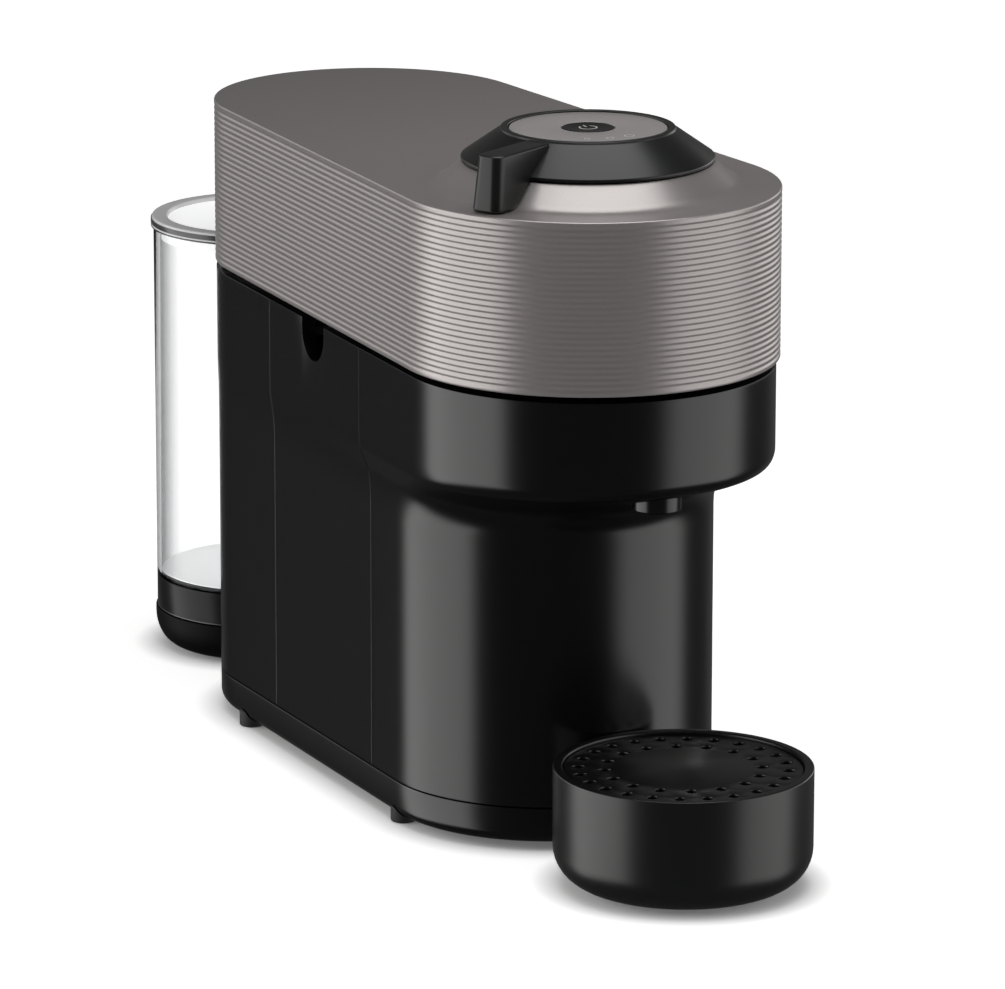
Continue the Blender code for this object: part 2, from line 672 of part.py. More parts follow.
# ---------------------------------------------------------------- brew unit
def make_top_deck(materials):
    """The deck under the hood: holes for the bell and the capsule bin, room at the notches."""
    bm = slab(COLUMN_PLAN, WALL + 0.0006, DECK_BOTTOM, DECK_TOP)
    deck = add_object("top_deck", bm, materials["dark"])
    front = slab(((0.0600, BREW_Y), (0.0560, COLUMN_Y)), 0.0, DECK_BOTTOM, DECK_TOP)
    join(deck, front)
    carve(deck, rod((0, BREW_Y, 0.15), (0, BREW_Y, 0.17), 0.0390, 32))
    low_y, high_y = BIN_Y
    carve(deck, box((-BIN_X - GAP, low_y - GAP, 0.15), (BIN_X + GAP, high_y + GAP, 0.17)))
    for sign in (-1, 1):
        near, far = sorted((sign * 0.0490, sign * 0.0700))
        carve(deck, box((near, NOTCH_Y - 0.0125, 0.15), (far, NOTCH_Y + 0.0125, 0.17)))


def make_brew_chamber(materials):
    """The fixed dish round the spinning holder, with a port to the outlet."""
    profile = [
        (0.0380, DECK_BOTTOM - GAP),
        (0.0450, DECK_BOTTOM - GAP),
        (0.0450, 0.1575),
        (0.0405, 0.1575),
        (0.0405, 0.1430),
        (0.0310, 0.1290),
        (0.0220, 0.1215),
        (0.0070, 0.1215),
        (0.0070, 0.1240),
        (0.0210, 0.1240),
        (0.0288, 0.1305),
        (0.0380, 0.1440),
    ]
    chamber = add_object("brew_chamber", turned(profile, BREW_Y), materials["dark"])
    carve(chamber, rod((0, BREW_Y - 0.050, 0.1490), (0, BREW_Y - 0.030, 0.1490), 0.0030, 12))
    pipe = turned(
        [(0.0040, OUTLET_BOTTOM), (OUTLET_R - 0.0008, OUTLET_BOTTOM), (OUTLET_R, OUTLET_BOTTOM + 0.0008)]
        + [(OUTLET_R, 0.1440), (0.0060, 0.1460), (0.0060, 0.1540), (0.0040, 0.1540)],
        OUTLET_Y,
    )
    outlet = add_object("coffee_outlet", pipe, materials["black"])
    join(outlet, rod((0, BREW_Y - 0.0412, 0.1490), (0, OUTLET_Y + 0.0050, 0.1490), 0.0042, 12))
    carve(outlet, rod((0, BREW_Y - 0.0380, 0.1490), (0, OUTLET_Y, 0.1490), 0.0028, 12))


def make_capsule_holder(materials):
    """The bowl that holds and spins the capsule, with its pulley and shaft below."""
    rim, middle = HOLDER_RIM_Z, HOLDER_RIM_Z - 0.0030
    outer = arc((0.0, middle), 0.0340, 0, -76, 5)
    inner = arc((0.0, middle), 0.0320, -84, 0, 5)
    profile = [(0.0370, rim), (0.0370, rim - 0.0030), *outer]
    profile += [(0.0082, 0.1246), (0, 0.1246)]
    profile = [(0, inner[0][1]), *inner, (0.0325, rim), *profile]
    bowl = turned(profile, BREW_Y)
    add_object("capsule_holder", bowl, materials["steel"], (0, BREW_Y, rim))
    pulley = turned(
        [
            (0, 0.1242),
            (0.0040, 0.1242),
            (0.0040, PULLEY_HIGH + 0.0010),
            (HOLDER_PULLEY_R + 0.0014, PULLEY_HIGH + 0.0010),
            (HOLDER_PULLEY_R + 0.0014, PULLEY_HIGH + 0.0002),
            (HOLDER_PULLEY_R, PULLEY_HIGH + 0.0002),
            (HOLDER_PULLEY_R, PULLEY_LOW - 0.0002),
            (HOLDER_PULLEY_R + 0.0014, PULLEY_LOW - 0.0002),
            (HOLDER_PULLEY_R + 0.0014, PULLEY_LOW - 0.0010),
            (0.0040, PULLEY_LOW - 0.0010),
            (0.0040, 0.0880),
            (0, 0.0880),
        ],
        BREW_Y,
    )
    add_object("holder_pulley", pulley, materials["dark"], (0, BREW_Y, PULLEY_LOW))


def make_drive(materials):
    """Plate, bearing, motor, motor pulley and belt."""
    plate = add_object(
        "drive_plate", slab(COLUMN_PLAN, 0.0075, PLATE_LOW, PLATE_HIGH), materials["steel"]
    )
    keep_inside(plate, box((-0.0455, -0.2, 0.0), (0.0455, BREW_Y + 0.0700, 0.3)))
    carve(plate, rod((0, BREW_Y, 0.08), (0, BREW_Y, 0.10), 0.0060, 16))
    carve(plate, rod((0, MOTOR_Y, 0.08), (0, MOTOR_Y, 0.10), 0.0060, 16))
    bearing = turned(
        [(0.0044, 0.0949), (0.0095, 0.0949), (0.0095, 0.1010), (0.0044, 0.1010)], BREW_Y, steps=24
    )
    add_object("holder_bearing", bearing, materials["steel"])
    motor = turned(
        [
            (0, 0.0860),
            (0.0032, 0.0860),
            (0.0032, PLATE_LOW - GAP),
            (0.0165, PLATE_LOW - GAP),
            (0.0180, 0.0900),
            (0.0180, 0.0520),
            (0.0165, 0.0500),
            (0, 0.0500),
        ],
        MOTOR_Y,
    )
    add_object("drive_motor", motor, materials["copper"])
    rotor = turned(
        [
            (0, PULLEY_HIGH + 0.0010),
            (MOTOR_PULLEY_R + 0.0012, PULLEY_HIGH + 0.0010),
            (MOTOR_PULLEY_R + 0.0012, PULLEY_HIGH + 0.0002),
            (MOTOR_PULLEY_R, PULLEY_HIGH + 0.0002),
            (MOTOR_PULLEY_R, PULLEY_LOW - 0.0002),
            (MOTOR_PULLEY_R + 0.0012, PULLEY_LOW - 0.0002),
            (MOTOR_PULLEY_R + 0.0012, PULLEY_LOW - 0.0010),
            (0.0025, PULLEY_LOW - 0.0010),
            (0.0025, 0.0864),
            (0, 0.0864),
        ],
        MOTOR_Y,
    )
    add_object("motor_pulley", rotor, materials["dark"], (0, MOTOR_Y, PULLEY_LOW))
    loop = ((HOLDER_PULLEY_R + 0.0017, BREW_Y), (MOTOR_PULLEY_R + 0.0017, MOTOR_Y))
    rings = [
        plan_ring(loop, inset, z)
        for inset, z in (
            (0.0, PULLEY_LOW + 0.0002),
            (0.0, PULLEY_HIGH - 0.0002),
            (0.0013, PULLEY_HIGH - 0.0002),
            (0.0013, PULLEY_LOW + 0.0002),
        )
    ]
    add_object("drive_belt", loft(rings, closed=True), materials["rubber"])


def make_capsule_bin(materials):
    """The open bin for used capsules, hung in the deck by its rim."""
    (low_y, high_y), rim = BIN_Y, DECK_TOP + GAP
    bm = box((-BIN_X, low_y, BIN_LOW), (BIN_X, high_y, rim + 0.0010))
    made = add_object("capsule_bin", bm, materials["dark"])
    join(
        made,
        box((-BIN_X - 0.0030, low_y - 0.0030, rim), (BIN_X + 0.0030, high_y + 0.0030, rim + 0.0018)),
    )
    wall = 0.0018
    carve(
        made,
        box((-BIN_X + wall, low_y + wall, BIN_LOW + wall), (BIN_X - wall, high_y - wall, 0.18)),
    )


def make_frame_sides(materials):
    """The two upright plates between the pan and the deck."""
    for side, sign in (("left", -1), ("right", 1)):
        near, far = sorted(sign * x for x in FRAME_X)
        (low_y, high_y), low, high = FRAME_Y, PAN_BOTTOM + WALL + GAP, DECK_BOTTOM - GAP
        plate = add_object(
            f"frame_side_{side}", box((near, low_y, low), (far, high_y, high)), materials["dark"]
        )
        reach = ((near - 0.01), (far + 0.01))
        carve(
            plate,
            box((reach[0], NOTCH_Y - 0.0140, 0.1500), (reach[1], NOTCH_Y + 0.0140, 0.17)),
        )
        for window_y in (BREW_Y + 0.0300, BREW_Y + 0.1480):
            carve(plate, box((reach[0], window_y, 0.0400), (reach[1], window_y + 0.024, 0.1300)))


# ---------------------------------------------------------------- water path
def make_water_path(materials):
    """Pump on its mount, flow meter, heater and the hoses between them."""
    (low_y, high_y) = PUMP_Y
    body = rod((PUMP_X, low_y, PUMP_Z), (PUMP_X, high_y, PUMP_Z), 0.0140, 20)
    pump = add_object("pump", body, materials["copper"])
    join(
        pump,
        soft_box(
            (PUMP_X - 0.0170, low_y + 0.010, PUMP_Z - 0.0170),
            (PUMP_X + 0.0170, low_y + 0.042, PUMP_Z + 0.0170),
            0.002,
            1,
        ),
    )
    mount = box(
        (PUMP_X - 0.0150, low_y + 0.012, PAN_BOTTOM + WALL + GAP),
        (PUMP_X + 0.0150, low_y + 0.040, PUMP_Z - 0.0170 - GAP),
    )
    add_object("pump_mount", mount, materials["rubber"])
    meter = rod((PUMP_X, high_y + GAP, PUMP_Z), (PUMP_X, high_y + 0.0090, PUMP_Z), 0.0090, 16)
    add_object("flow_meter", meter, materials["hose"])
    heater = add_object(
        "heater_block",
        soft_box(HEATER_LOW, HEATER_HIGH, 0.003, 2),
        materials["alloy"],
    )
    front = HEATER_LOW[1]
    for z in (0.0880, 0.0980, 0.1080, 0.1180):
        carve(
            heater,
            box((-0.010, front - 0.003, z - 0.0015), (0.046, front + 0.003, z + 0.0015)),
        )
    meter_y = high_y + 0.0047
    inlet = [
        (0, 0.1208, (NECK_LOW + NECK_HIGH) / 2),
        (-0.004, 0.1150, 0.0110),
        (-0.013, meter_y + 0.0010, 0.0170),
        (PUMP_X + 0.001, meter_y, 0.0255),
        (PUMP_X, meter_y, PUMP_Z - 0.0096),
    ]
    tube("hose_tank_meter", smooth_route(inlet, 4), 0.0028, materials["hose"])
    pressure = [
        (PUMP_X, low_y - 0.0008, PUMP_Z),
        (PUMP_X, low_y - 0.0060, PUMP_Z),
        (-0.014, low_y - 0.0110, 0.0580),
        (0.002, low_y - 0.0020, 0.0690),
        (0.010, BREW_Y + 0.1620, 0.0730),
        (0.010, BREW_Y + 0.1640, 0.0792),
    ]
    tube("hose_pump_heater", smooth_route(pressure, 4), 0.0024, materials["hose"])
    hot = [
        (0.0180, BREW_Y + 0.1730, 0.1266),
        (0.0180, BREW_Y + 0.1740, 0.1360),
        (0.0100, BREW_Y + 0.1860, 0.1500),
        (0.0080, BREW_Y + 0.1880, 0.1596),
    ]
    tube("hose_heater_deck", smooth_route(hot, 4), 0.0024, materials["hose"])


def make_main_board(materials):
    """The mains board on the floor of the body, below the capsule bin."""
    y = BREW_Y + 0.0780
    board = add_object(
        "main_board", box((-0.040, y, 0.0240), (0.040, y + 0.056, 0.0256)), materials["board"]
    )
    for low, high in (
        ((-0.034, 0.006), (-0.014, 0.026)),
        ((-0.006, 0.010), (0.010, 0.020)),
        ((0.018, 0.030), (0.034, 0.048)),
    ):
        join(board, box((low[0], y + low[1], 0.0250), (high[0], y + high[1], 0.0420)))


def make_cord_gland(materials):
    """The gland that a mains lead would leave through."""
    y = BODY_REAR_Y + 0.0390
    ring = rod((GLAND_X, y, GLAND_Z), (GLAND_X, y + 0.0110, GLAND_Z), 0.0060, 20)
    gland = add_object("cord_gland", ring, materials["rubber"])
    carve(gland, rod((GLAND_X, y - 0.01, GLAND_Z), (GLAND_X, y + 0.02, GLAND_Z), 0.0034, 16))


# ---------------------------------------------------------------- tank
def make_tank_base(materials):
    """The dock that the tank stands on, with its neck into the body."""
    edge = [
        (DOCK_R - DOCK_EDGE_IN * (1 - across), DOCK_BOTTOM + DOCK_EDGE_UP * (1 + up))
        for across, up in arc((0.0, 0.0), 1.0, 0, -90, 5)
    ]
    plug_r = TANK_R - TANK_WALL - 0.0008
    profile = [(0, DOCK_TOP), (plug_r - 0.0010, DOCK_TOP), (plug_r, DOCK_TOP - 0.0010)]
    profile += [(plug_r, DOCK_SHELF), (DOCK_R, DOCK_SHELF), *edge, (0, DOCK_BOTTOM)]
    dock = add_object("tank_base", turned(profile, TANK_Y, steps=32), materials["black"])
    neck_end = TANK_Y - DOCK_R - 0.0120
    join(dock, box((-NECK_X, neck_end, NECK_LOW), (NECK_X, TANK_Y, NECK_HIGH)))
    well, top = DOCK_TOP - 0.0060, DOCK_TOP
    carve(dock, rod((0, TANK_Y, well), (0, TANK_Y, top + 0.01), 0.0090, 20))
    foot_space = DOCK_FOOT_TOP + GAP
    carve(dock, rod((0, TANK_Y, -0.01), (0, TANK_Y, foot_space), DOCK_FOOT_R + GAP, 16))
    probe = turned(
        [(0, top + 0.0030), (0.0018, top + 0.0030), (0.0024, top + 0.0010), (0.0024, top - 0.0010)]
        + [(0.0060, top - 0.0020), (0.0060, well + GAP), (0, well + GAP)],
        TANK_Y,
        steps=16,
    )
    add_object("tank_probe", probe, materials["rubber"])
    foot = [(0, DOCK_FOOT_TOP), (DOCK_FOOT_R, DOCK_FOOT_TOP), (DOCK_FOOT_R, 0), (0, 0)]
    add_object("foot_tank", turned(foot, TANK_Y, steps=16), materials["rubber"])


def make_tank(materials):
    """The clear tank, its valve and its lid."""
    inside = TANK_R - TANK_WALL
    floor = TANK_FLOOR + TANK_WALL
    profile = [
        (TANK_R, LID_LOW - GAP),
        (TANK_R, TANK_BOTTOM),
        (inside, TANK_BOTTOM),
        (inside, TANK_FLOOR),
        (0.0070, TANK_FLOOR),
        (0.0070, floor),
        (inside - 0.0010, floor),
        (inside, floor + 0.0010),
        (inside, LID_LOW - GAP),
    ]
    add_object("water_tank", turned(profile, TANK_Y, steps=32), materials["clear"])
    low, rest, top = TANK_FLOOR, floor + GAP, TANK_FLOOR + 0.0070
    valve = turned(
        [(0.0030, low), (0.0066, low), (0.0066, rest), (0.0090, rest)]
        + [(0.0090, rest + 0.0012), (0.0050, top), (0.0030, top)],
        TANK_Y,
        steps=20,
    )
    add_object("tank_valve", valve, materials["dark"])
    skirt = inside - 0.0006
    lid = turned(
        [
            (0, LID_HIGH - 0.0014),
            (0.0352, LID_HIGH - 0.0014),
            (0.0356, LID_HIGH),
            (LID_R - 0.0006, LID_HIGH),
            (LID_R, LID_HIGH - 0.0006),
            (LID_R, LID_LOW),
            (skirt, LID_LOW),
            (skirt, LID_LOW - 0.0044),
            (skirt - 0.0016, LID_LOW - 0.0044),
            (skirt - 0.0016, LID_LOW + 0.0006),
            (0, LID_LOW + 0.0006),
        ],
        TANK_Y,
        steps=32,
    )
    add_object("tank_lid", lid, materials["clear"], (0, TANK_Y, LID_HIGH))


# ---------------------------------------------------------------- cup stand
def make_cup_stand(materials):
    """The round drip tray that the cup stands on, with a tongue under the body."""
    edge = arc((STAND_R - STAND_EDGE, STAND_BOTTOM + STAND_EDGE), STAND_EDGE, 0, -90, 5)
    ledge, bowl_r, floor = GRID_LOW - GAP, 0.0385, 0.0052
    profile = [
        (GRID_R + GAP, STAND_TOP - 0.0006),
        (GRID_R + 0.0012, STAND_TOP),
        (STAND_R - 0.0012, STAND_TOP),
        (STAND_R, STAND_TOP - 0.0012),
        *edge,
        (0, STAND_BOTTOM),
    ]
    inner = [(0, floor), (0.0280, floor), (bowl_r, floor + 0.0105)]
    inner += [(bowl_r, ledge), (GRID_R + GAP, ledge)]
    bm = turned(inner + profile, STAND_Y, steps=32)
    stand = add_object("cup_stand", bm, materials["charcoal"], (0, STAND_Y, STAND_BOTTOM))
    tongue = box((-TONGUE_X, STAND_Y, STAND_BOTTOM + 0.0004), (TONGUE_X, TONGUE_END, TONGUE_TOP))
    join(stand, tongue)


def slot_shapes(radius, count, bm):
    """Upright oval prisms round a circle, their long sides towards its centre."""
    for index in range(count):
        turn = Matrix.Rotation(math.tau * index / count, 4, "Z")
        turn = Matrix.Translation((0, STAND_Y, 0)) @ turn
        outline = []
        for step in range(8):
            angle = math.tau * (step + 0.5) / 8
            across = SLOT_LENGTH / 2 * math.cos(angle)
            outline.append((radius + across, SLOT_WIDTH / 2 * math.sin(angle)))
        rows = [
            [bm.verts.new(turn @ Vector((x, y, z))) for x, y in outline]
            for z in (GRID_LOW - 0.002, GRID_HIGH + 0.002)
        ]
        bm.faces.new(rows[0])
        bm.faces.new(rows[1])
        for i in range(len(outline)):
            j = (i + 1) % len(outline)
            bm.faces.new((rows[0][i], rows[0][j], rows[1][j], rows[1][i]))


def make_drip_grid(materials):
    """The round plate in the stand, with rings of small oval slots."""
    profile = [(0, GRID_HIGH), (GRID_R, GRID_HIGH), (GRID_R, GRID_LOW), (0, GRID_LOW)]
    disc = turned(profile, STAND_Y, steps=32)
    grid = add_object("drip_grid", disc, materials["charcoal"], (0, STAND_Y, GRID_LOW))
    slots = bmesh.new()
    for radius, count in SLOT_RINGS:
        slot_shapes(radius, count, slots)
    carve(grid, slots)


def main():
    clear_scene()
    materials = make_materials()
    make_front_shell(materials)
    make_side_panels(materials)
    make_rear_shell(materials)
    make_base_pan(materials)
    make_feet(materials)
    make_base_screws(materials)
    make_head_cover(materials)
    make_head_plate(materials)
    make_hinge(materials)
    make_brew_head(materials)
    make_control_board(materials)
    make_lever(materials)
    make_lock_ring(materials)
    make_display(materials)
    make_top_deck(materials)
    make_brew_chamber(materials)
    make_capsule_holder(materials)
    make_drive(materials)
    make_capsule_bin(materials)
    make_frame_sides(materials)
    make_water_path(materials)
    make_main_board(materials)
    make_cord_gland(materials)
    make_tank_base(materials)
    make_tank(materials)
    make_cup_stand(materials)
    make_drip_grid(materials)


main()
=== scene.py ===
"""Looks of the pod coffee machine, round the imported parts. Metres, +Z up, front towards -Y."""

import json
import math

import bmesh
import bpy
from mathutils import Matrix, Vector


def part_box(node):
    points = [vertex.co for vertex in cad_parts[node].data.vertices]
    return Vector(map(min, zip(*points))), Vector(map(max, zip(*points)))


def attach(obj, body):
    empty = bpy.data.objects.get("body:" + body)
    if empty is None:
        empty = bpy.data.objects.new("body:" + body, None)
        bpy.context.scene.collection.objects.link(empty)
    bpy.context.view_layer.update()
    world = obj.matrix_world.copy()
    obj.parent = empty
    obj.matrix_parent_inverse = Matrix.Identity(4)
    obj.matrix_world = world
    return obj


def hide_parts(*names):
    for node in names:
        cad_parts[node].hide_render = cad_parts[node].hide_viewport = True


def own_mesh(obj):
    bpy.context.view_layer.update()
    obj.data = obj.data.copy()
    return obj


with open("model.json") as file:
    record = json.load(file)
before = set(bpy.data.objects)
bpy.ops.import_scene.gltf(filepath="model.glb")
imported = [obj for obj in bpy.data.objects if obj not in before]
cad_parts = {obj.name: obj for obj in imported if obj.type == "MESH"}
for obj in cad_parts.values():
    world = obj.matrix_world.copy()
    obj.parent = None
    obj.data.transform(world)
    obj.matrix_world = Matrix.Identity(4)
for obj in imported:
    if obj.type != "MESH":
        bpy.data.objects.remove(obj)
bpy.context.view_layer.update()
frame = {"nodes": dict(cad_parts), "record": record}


# ---------------------------------------------------------------- dimensions
def span(node):
    """Where the node lies: its low corner, its high corner and its middle."""
    low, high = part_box(node)
    return low, high, (low + high) / 2


BREW_Y = span("start_button")[2].y  # the brew axis, centre of the machine's front circle
HOOD_PLAN = ((0.06688, BREW_Y), (0.0568, BREW_Y + 0.1757))  # (front radius, y), (rear radius, y)
BAND_PLAN = ((0.0655, BREW_Y), (0.0564, BREW_Y + 0.1757))
COLUMN_PLAN = ((0.0588, BREW_Y + 0.0306), (0.0560, BREW_Y + 0.1757))
GAP, WALL = 0.0004, 0.0024
ARC_STEPS = 72  # along each round end of a plan
ROUND_STEPS = 144  # round the tank, the dock, the bell and the cone
SHARP_EDGE, SEAM_EDGE = math.radians(35), 0.00035  # shading limit, rounding of the shells' edges

HOOD_BOTTOM, HOOD_TOP = span("head_cover")[0].z, 0.2310
HOOD_WALL, HOOD_ROOF, HOOD_EDGE = 0.0026, 0.0030, 0.0008
RIB_PITCH, RIB_DEPTH, RIB_LOW, RIB_COUNT, RIB_STEPS = 0.00204, 0.00034, 0.1722, 28, 8
PLINTH_TOP, PLINTH_TOP_R = span("head_cover")[1].z, 0.0434
PLINTH_FOOT_R, PLINTH_BEND = 0.0530, 0.0090  # the cone under the lever's ring

BODY_BOTTOM, BODY_TOP = span("front_shell")[0].z, span("front_shell")[1].z
PAN_BOTTOM, PAN_TOP, PAN_EDGE = span("base_pan")[0].z, span("base_pan")[1].z, 0.0045
FRONT_SEAM_Y, REAR_SEAM_Y, SEAM = span("front_shell")[1].y, span("side_panel_left")[1].y, GAP
SLOPE_TOP, SLOPE_ANGLE = 0.1388, math.radians(18)
SLOPE_DEPTH = (BAND_PLAN[0][0] - COLUMN_PLAN[0][0]) + (COLUMN_PLAN[0][1] - BREW_Y)
CONVEX_R, CONCAVE_R = 0.0065, 0.014
NOTCH_Y, NOTCH_Z, NOTCH_R = BREW_Y + 0.0950, 0.1646, 0.0102

KNOB_BOTTOM, KNOB_TOP = PLINTH_TOP + GAP, span("lock_lever")[1].z
KNOB_RIM_R, KNOB_CORNER_R = 0.0300, span("lock_lever")[1].x + 0.0018
DISC_R, SHAFT_R, SHAFT_BORE_R = 0.0273, 0.0195, 0.0150
DISC_TOP, DISC_LOW = KNOB_TOP - 0.0005, 0.2470
SHAFT_LOW, SHAFT_HIGH = span("lock_lever")[0].z, 0.2460
STEM_R, STEM_LOW, STEM_HIGH = 0.0120, span("display_disc")[0].z, 0.2378
MARK_CIRCLE_R, MARK_WIDTH = 0.0205, 0.00022
LEVER_ANGLE = math.radians(60.8)  # from straight ahead towards -X
LEVER_INNER_R, LEVER_TIP_R, LEVER_HALF = 0.0292, 0.0612, 0.0050
LEVER_TIP_DRAFT, LEVER_SIDE_DRAFT = 0.0024, 0.0010  # growth from the knob's top down to the hood
LEVER_CORNER, LEVER_EDGE = 0.0036, 0.0009
BUTTON_R, BUTTON_TOP, BUTTON_LOW = 0.0091, span("start_button")[1].z, 0.2440
SIGN_WIDTH = 0.0005
SPRING_WIRE_R, SPRING_R, SPRING_TURNS, SPRING_STEPS = 0.00032, 0.0046, 3, 40

BOWL_IN_R, BOWL_OUT_R, BOWL_FLANGE_R, FLANGE = 0.0320, 0.0340, 0.0370, 0.0030
BELL_BORE_R, BELL_IN_R, BELL_OUT_R, BELL_FLANGE_R = 0.0050, 0.0330, 0.0360, 0.0440
BELL_ROOF = 0.0060

OUTLET_Y, OUTLET_R, OUTLET_BOTTOM = BREW_Y - 0.0525, 0.0084, span("coffee_outlet")[0].z
STAND_R, STAND_EDGE = span("cup_stand")[1].x, 0.0130
STAND_Y = span("drip_grid")[2].y
STAND_BOTTOM, STAND_TOP = span("cup_stand")[0].z, span("cup_stand")[1].z
TRAY_R, TRAY_FLOOR = 0.0385, 0.0052
TONGUE_X, TONGUE_END, TONGUE_TOP = 0.0120, span("cup_stand")[1].y, 0.0046
GRID_R, GRID_LOW, GRID_HIGH = span("drip_grid")[1].x, span("drip_grid")[0].z, span("drip_grid")[1].z
SLOT_RINGS = ((0.0360, 24), (0.0270, 16))  # (radius, count) of the grid's oval slots
SLOT_LENGTH, SLOT_WIDTH = 0.0044, 0.0036

TANK_Y = span("water_tank")[2].y
LID_R, LID_LOW, LID_HIGH = span("tank_lid")[1].x, 0.1646, span("tank_lid")[1].z
LID_INNER_R, LID_SKIRT = 0.0345, 0.0044
TANK_R, TANK_WALL = span("water_tank")[1].x, 0.0020
TANK_IN_R = TANK_R - TANK_WALL
TANK_BOTTOM, TANK_FLOOR = span("water_tank")[0].z, span("tank_valve")[0].z
VALVE_BORE_R, TANK_TINT, FOOT_LINE = 0.0072, 0.0004, 0.0004
DOCK_R = span("tank_base")[1].x
DOCK_BOTTOM, DOCK_TOP = span("tank_base")[0].z, span("tank_base")[1].z
DOCK_BORE_R, DOCK_BORE_LOW = 0.0090, DOCK_TOP - 0.0060
DOCK_PAD_R, DOCK_PAD_LOW = 0.0064, 0.0034
DOCK_SHELF, DOCK_EDGE_IN, DOCK_EDGE_UP = TANK_BOTTOM - GAP, 0.0080, 0.0120
NECK_X, NECK_LOW, NECK_HIGH = 0.0090, 0.0060, 0.0128
GLAND, GLAND_BORE_R = span("cord_gland")[2], 0.0064
FOOT_R, FOOT_HEIGHT = 0.0047, 0.0062

# The studio's strips: azimuth, half width and soft edge in degrees, strength, and the lowest and
# highest direction (the sine of the elevation) that they fill.
STRIPS = (
    (160, 31, 4, 2.4, -0.60, 0.72),
    (322, 27, 9, 1.7, -0.60, 0.72),
    (60, 30, 12, 0.06, -0.60, 0.72),
    (122, 22, 8, 1.15, -0.06, 0.45),
    (14, 20, 10, 2.0, -0.17, 0.35),
)
STRIP_FADE_LOW, STRIP_FADE_HIGH = 0.18, 0.17
STUDIO_DIM = 0.045  # light from every other direction
LAMP_SIZE, LAMP_POWER, LAMP_PLACE = 0.40, 1.25, (0.02, BREW_Y - 0.03, 0.58)
FLOOR_DARK, FLOOR_BRIGHT, FLOOR_REACH = 0.10, 0.74, 0.012  # glow where closed in and in the open


# ---------------------------------------------------------------- camera, light and floor
def aim_camera():
    """The photograph's viewpoint."""
    place, target = Vector((-1.0384, -2.1156, 0.6975)), Vector((-0.0456, -0.0988, 0.1262))
    data = bpy.data.cameras.new("camera")
    data.sensor_width = 36.0
    data.lens = 240.9
    data.shift_x, data.shift_y = 0.0334, -0.0020
    data.clip_end = 60.0
    camera = bpy.data.objects.new("camera", data)
    camera.location = place
    camera.rotation_euler = (target - place).to_track_quat("-Z", "Y").to_euler()
    bpy.context.scene.collection.objects.link(camera)
    bpy.context.scene.camera = camera


def light_studio():
    """Soft strips of light round a dim studio, and a soft disc overhead."""
    scene = bpy.context.scene
    scene.view_settings.view_transform = "Standard"
    world = bpy.data.worlds.new("studio")
    world.use_nodes = True
    scene.world = world
    tree = world.node_tree
    nodes, links = tree.nodes, tree.links
    coords = nodes.new("ShaderNodeTexCoord")
    split = nodes.new("ShaderNodeSeparateXYZ")
    links.new(coords.outputs["Generated"], split.inputs[0])
    flat = nodes.new("ShaderNodeCombineXYZ")
    links.new(split.outputs["X"], flat.inputs["X"])
    links.new(split.outputs["Y"], flat.inputs["Y"])
    level = nodes.new("ShaderNodeVectorMath")
    level.operation = "NORMALIZE"
    links.new(flat.outputs[0], level.inputs[0])

    def window(value, start, end):
        """0 at start, 1 at end, smooth between; start may be the higher of the two."""
        node = nodes.new("ShaderNodeMapRange")
        node.interpolation_type = "SMOOTHSTEP"
        links.new(value, node.inputs["Value"])
        node.inputs["From Min"].default_value = start
        node.inputs["From Max"].default_value = end
        return node.outputs[0]

    def combine(operation, first, second):
        """Both values, each a socket or a number, through a math node."""
        node = nodes.new("ShaderNodeMath")
        node.operation = operation
        for value, socket in ((first, node.inputs[0]), (second, node.inputs[1])):
            if isinstance(value, (int, float)):
                socket.default_value = value
            else:
                links.new(value, socket)
        return node.outputs[0]

    total = None
    for azimuth, half, edge, strength, lowest, highest in STRIPS:
        height = combine(
            "MULTIPLY",
            window(split.outputs["Z"], lowest, lowest + STRIP_FADE_LOW),
            window(split.outputs["Z"], highest, highest - STRIP_FADE_HIGH),
        )
        toward = nodes.new("ShaderNodeVectorMath")
        toward.operation = "DOT_PRODUCT"
        links.new(level.outputs[0], toward.inputs[0])
        angle = math.radians(azimuth)
        toward.inputs[1].default_value = (math.cos(angle), math.sin(angle), 0.0)
        outer, inner = math.cos(math.radians(half + edge)), math.cos(math.radians(half - edge))
        strip = combine("MULTIPLY", window(toward.outputs["Value"], outer, inner), height)
        strip = combine("MULTIPLY", strip, strength)
        total = strip if total is None else combine("ADD", total, strip)
    total = combine("ADD", total, STUDIO_DIM)
    back = nodes["Background"]
    links.new(total, back.inputs["Strength"])
    back.inputs["Color"].default_value = (1.0, 0.99, 0.985, 1.0)

    data = bpy.data.lights.new("overhead", "AREA")
    data.shape = "DISK"
    data.size = LAMP_SIZE
    data.energy = LAMP_POWER
    lamp = bpy.data.objects.new("overhead", data)
    lamp.location = LAMP_PLACE
    lamp.visible_camera = False
    scene.collection.objects.link(lamp)


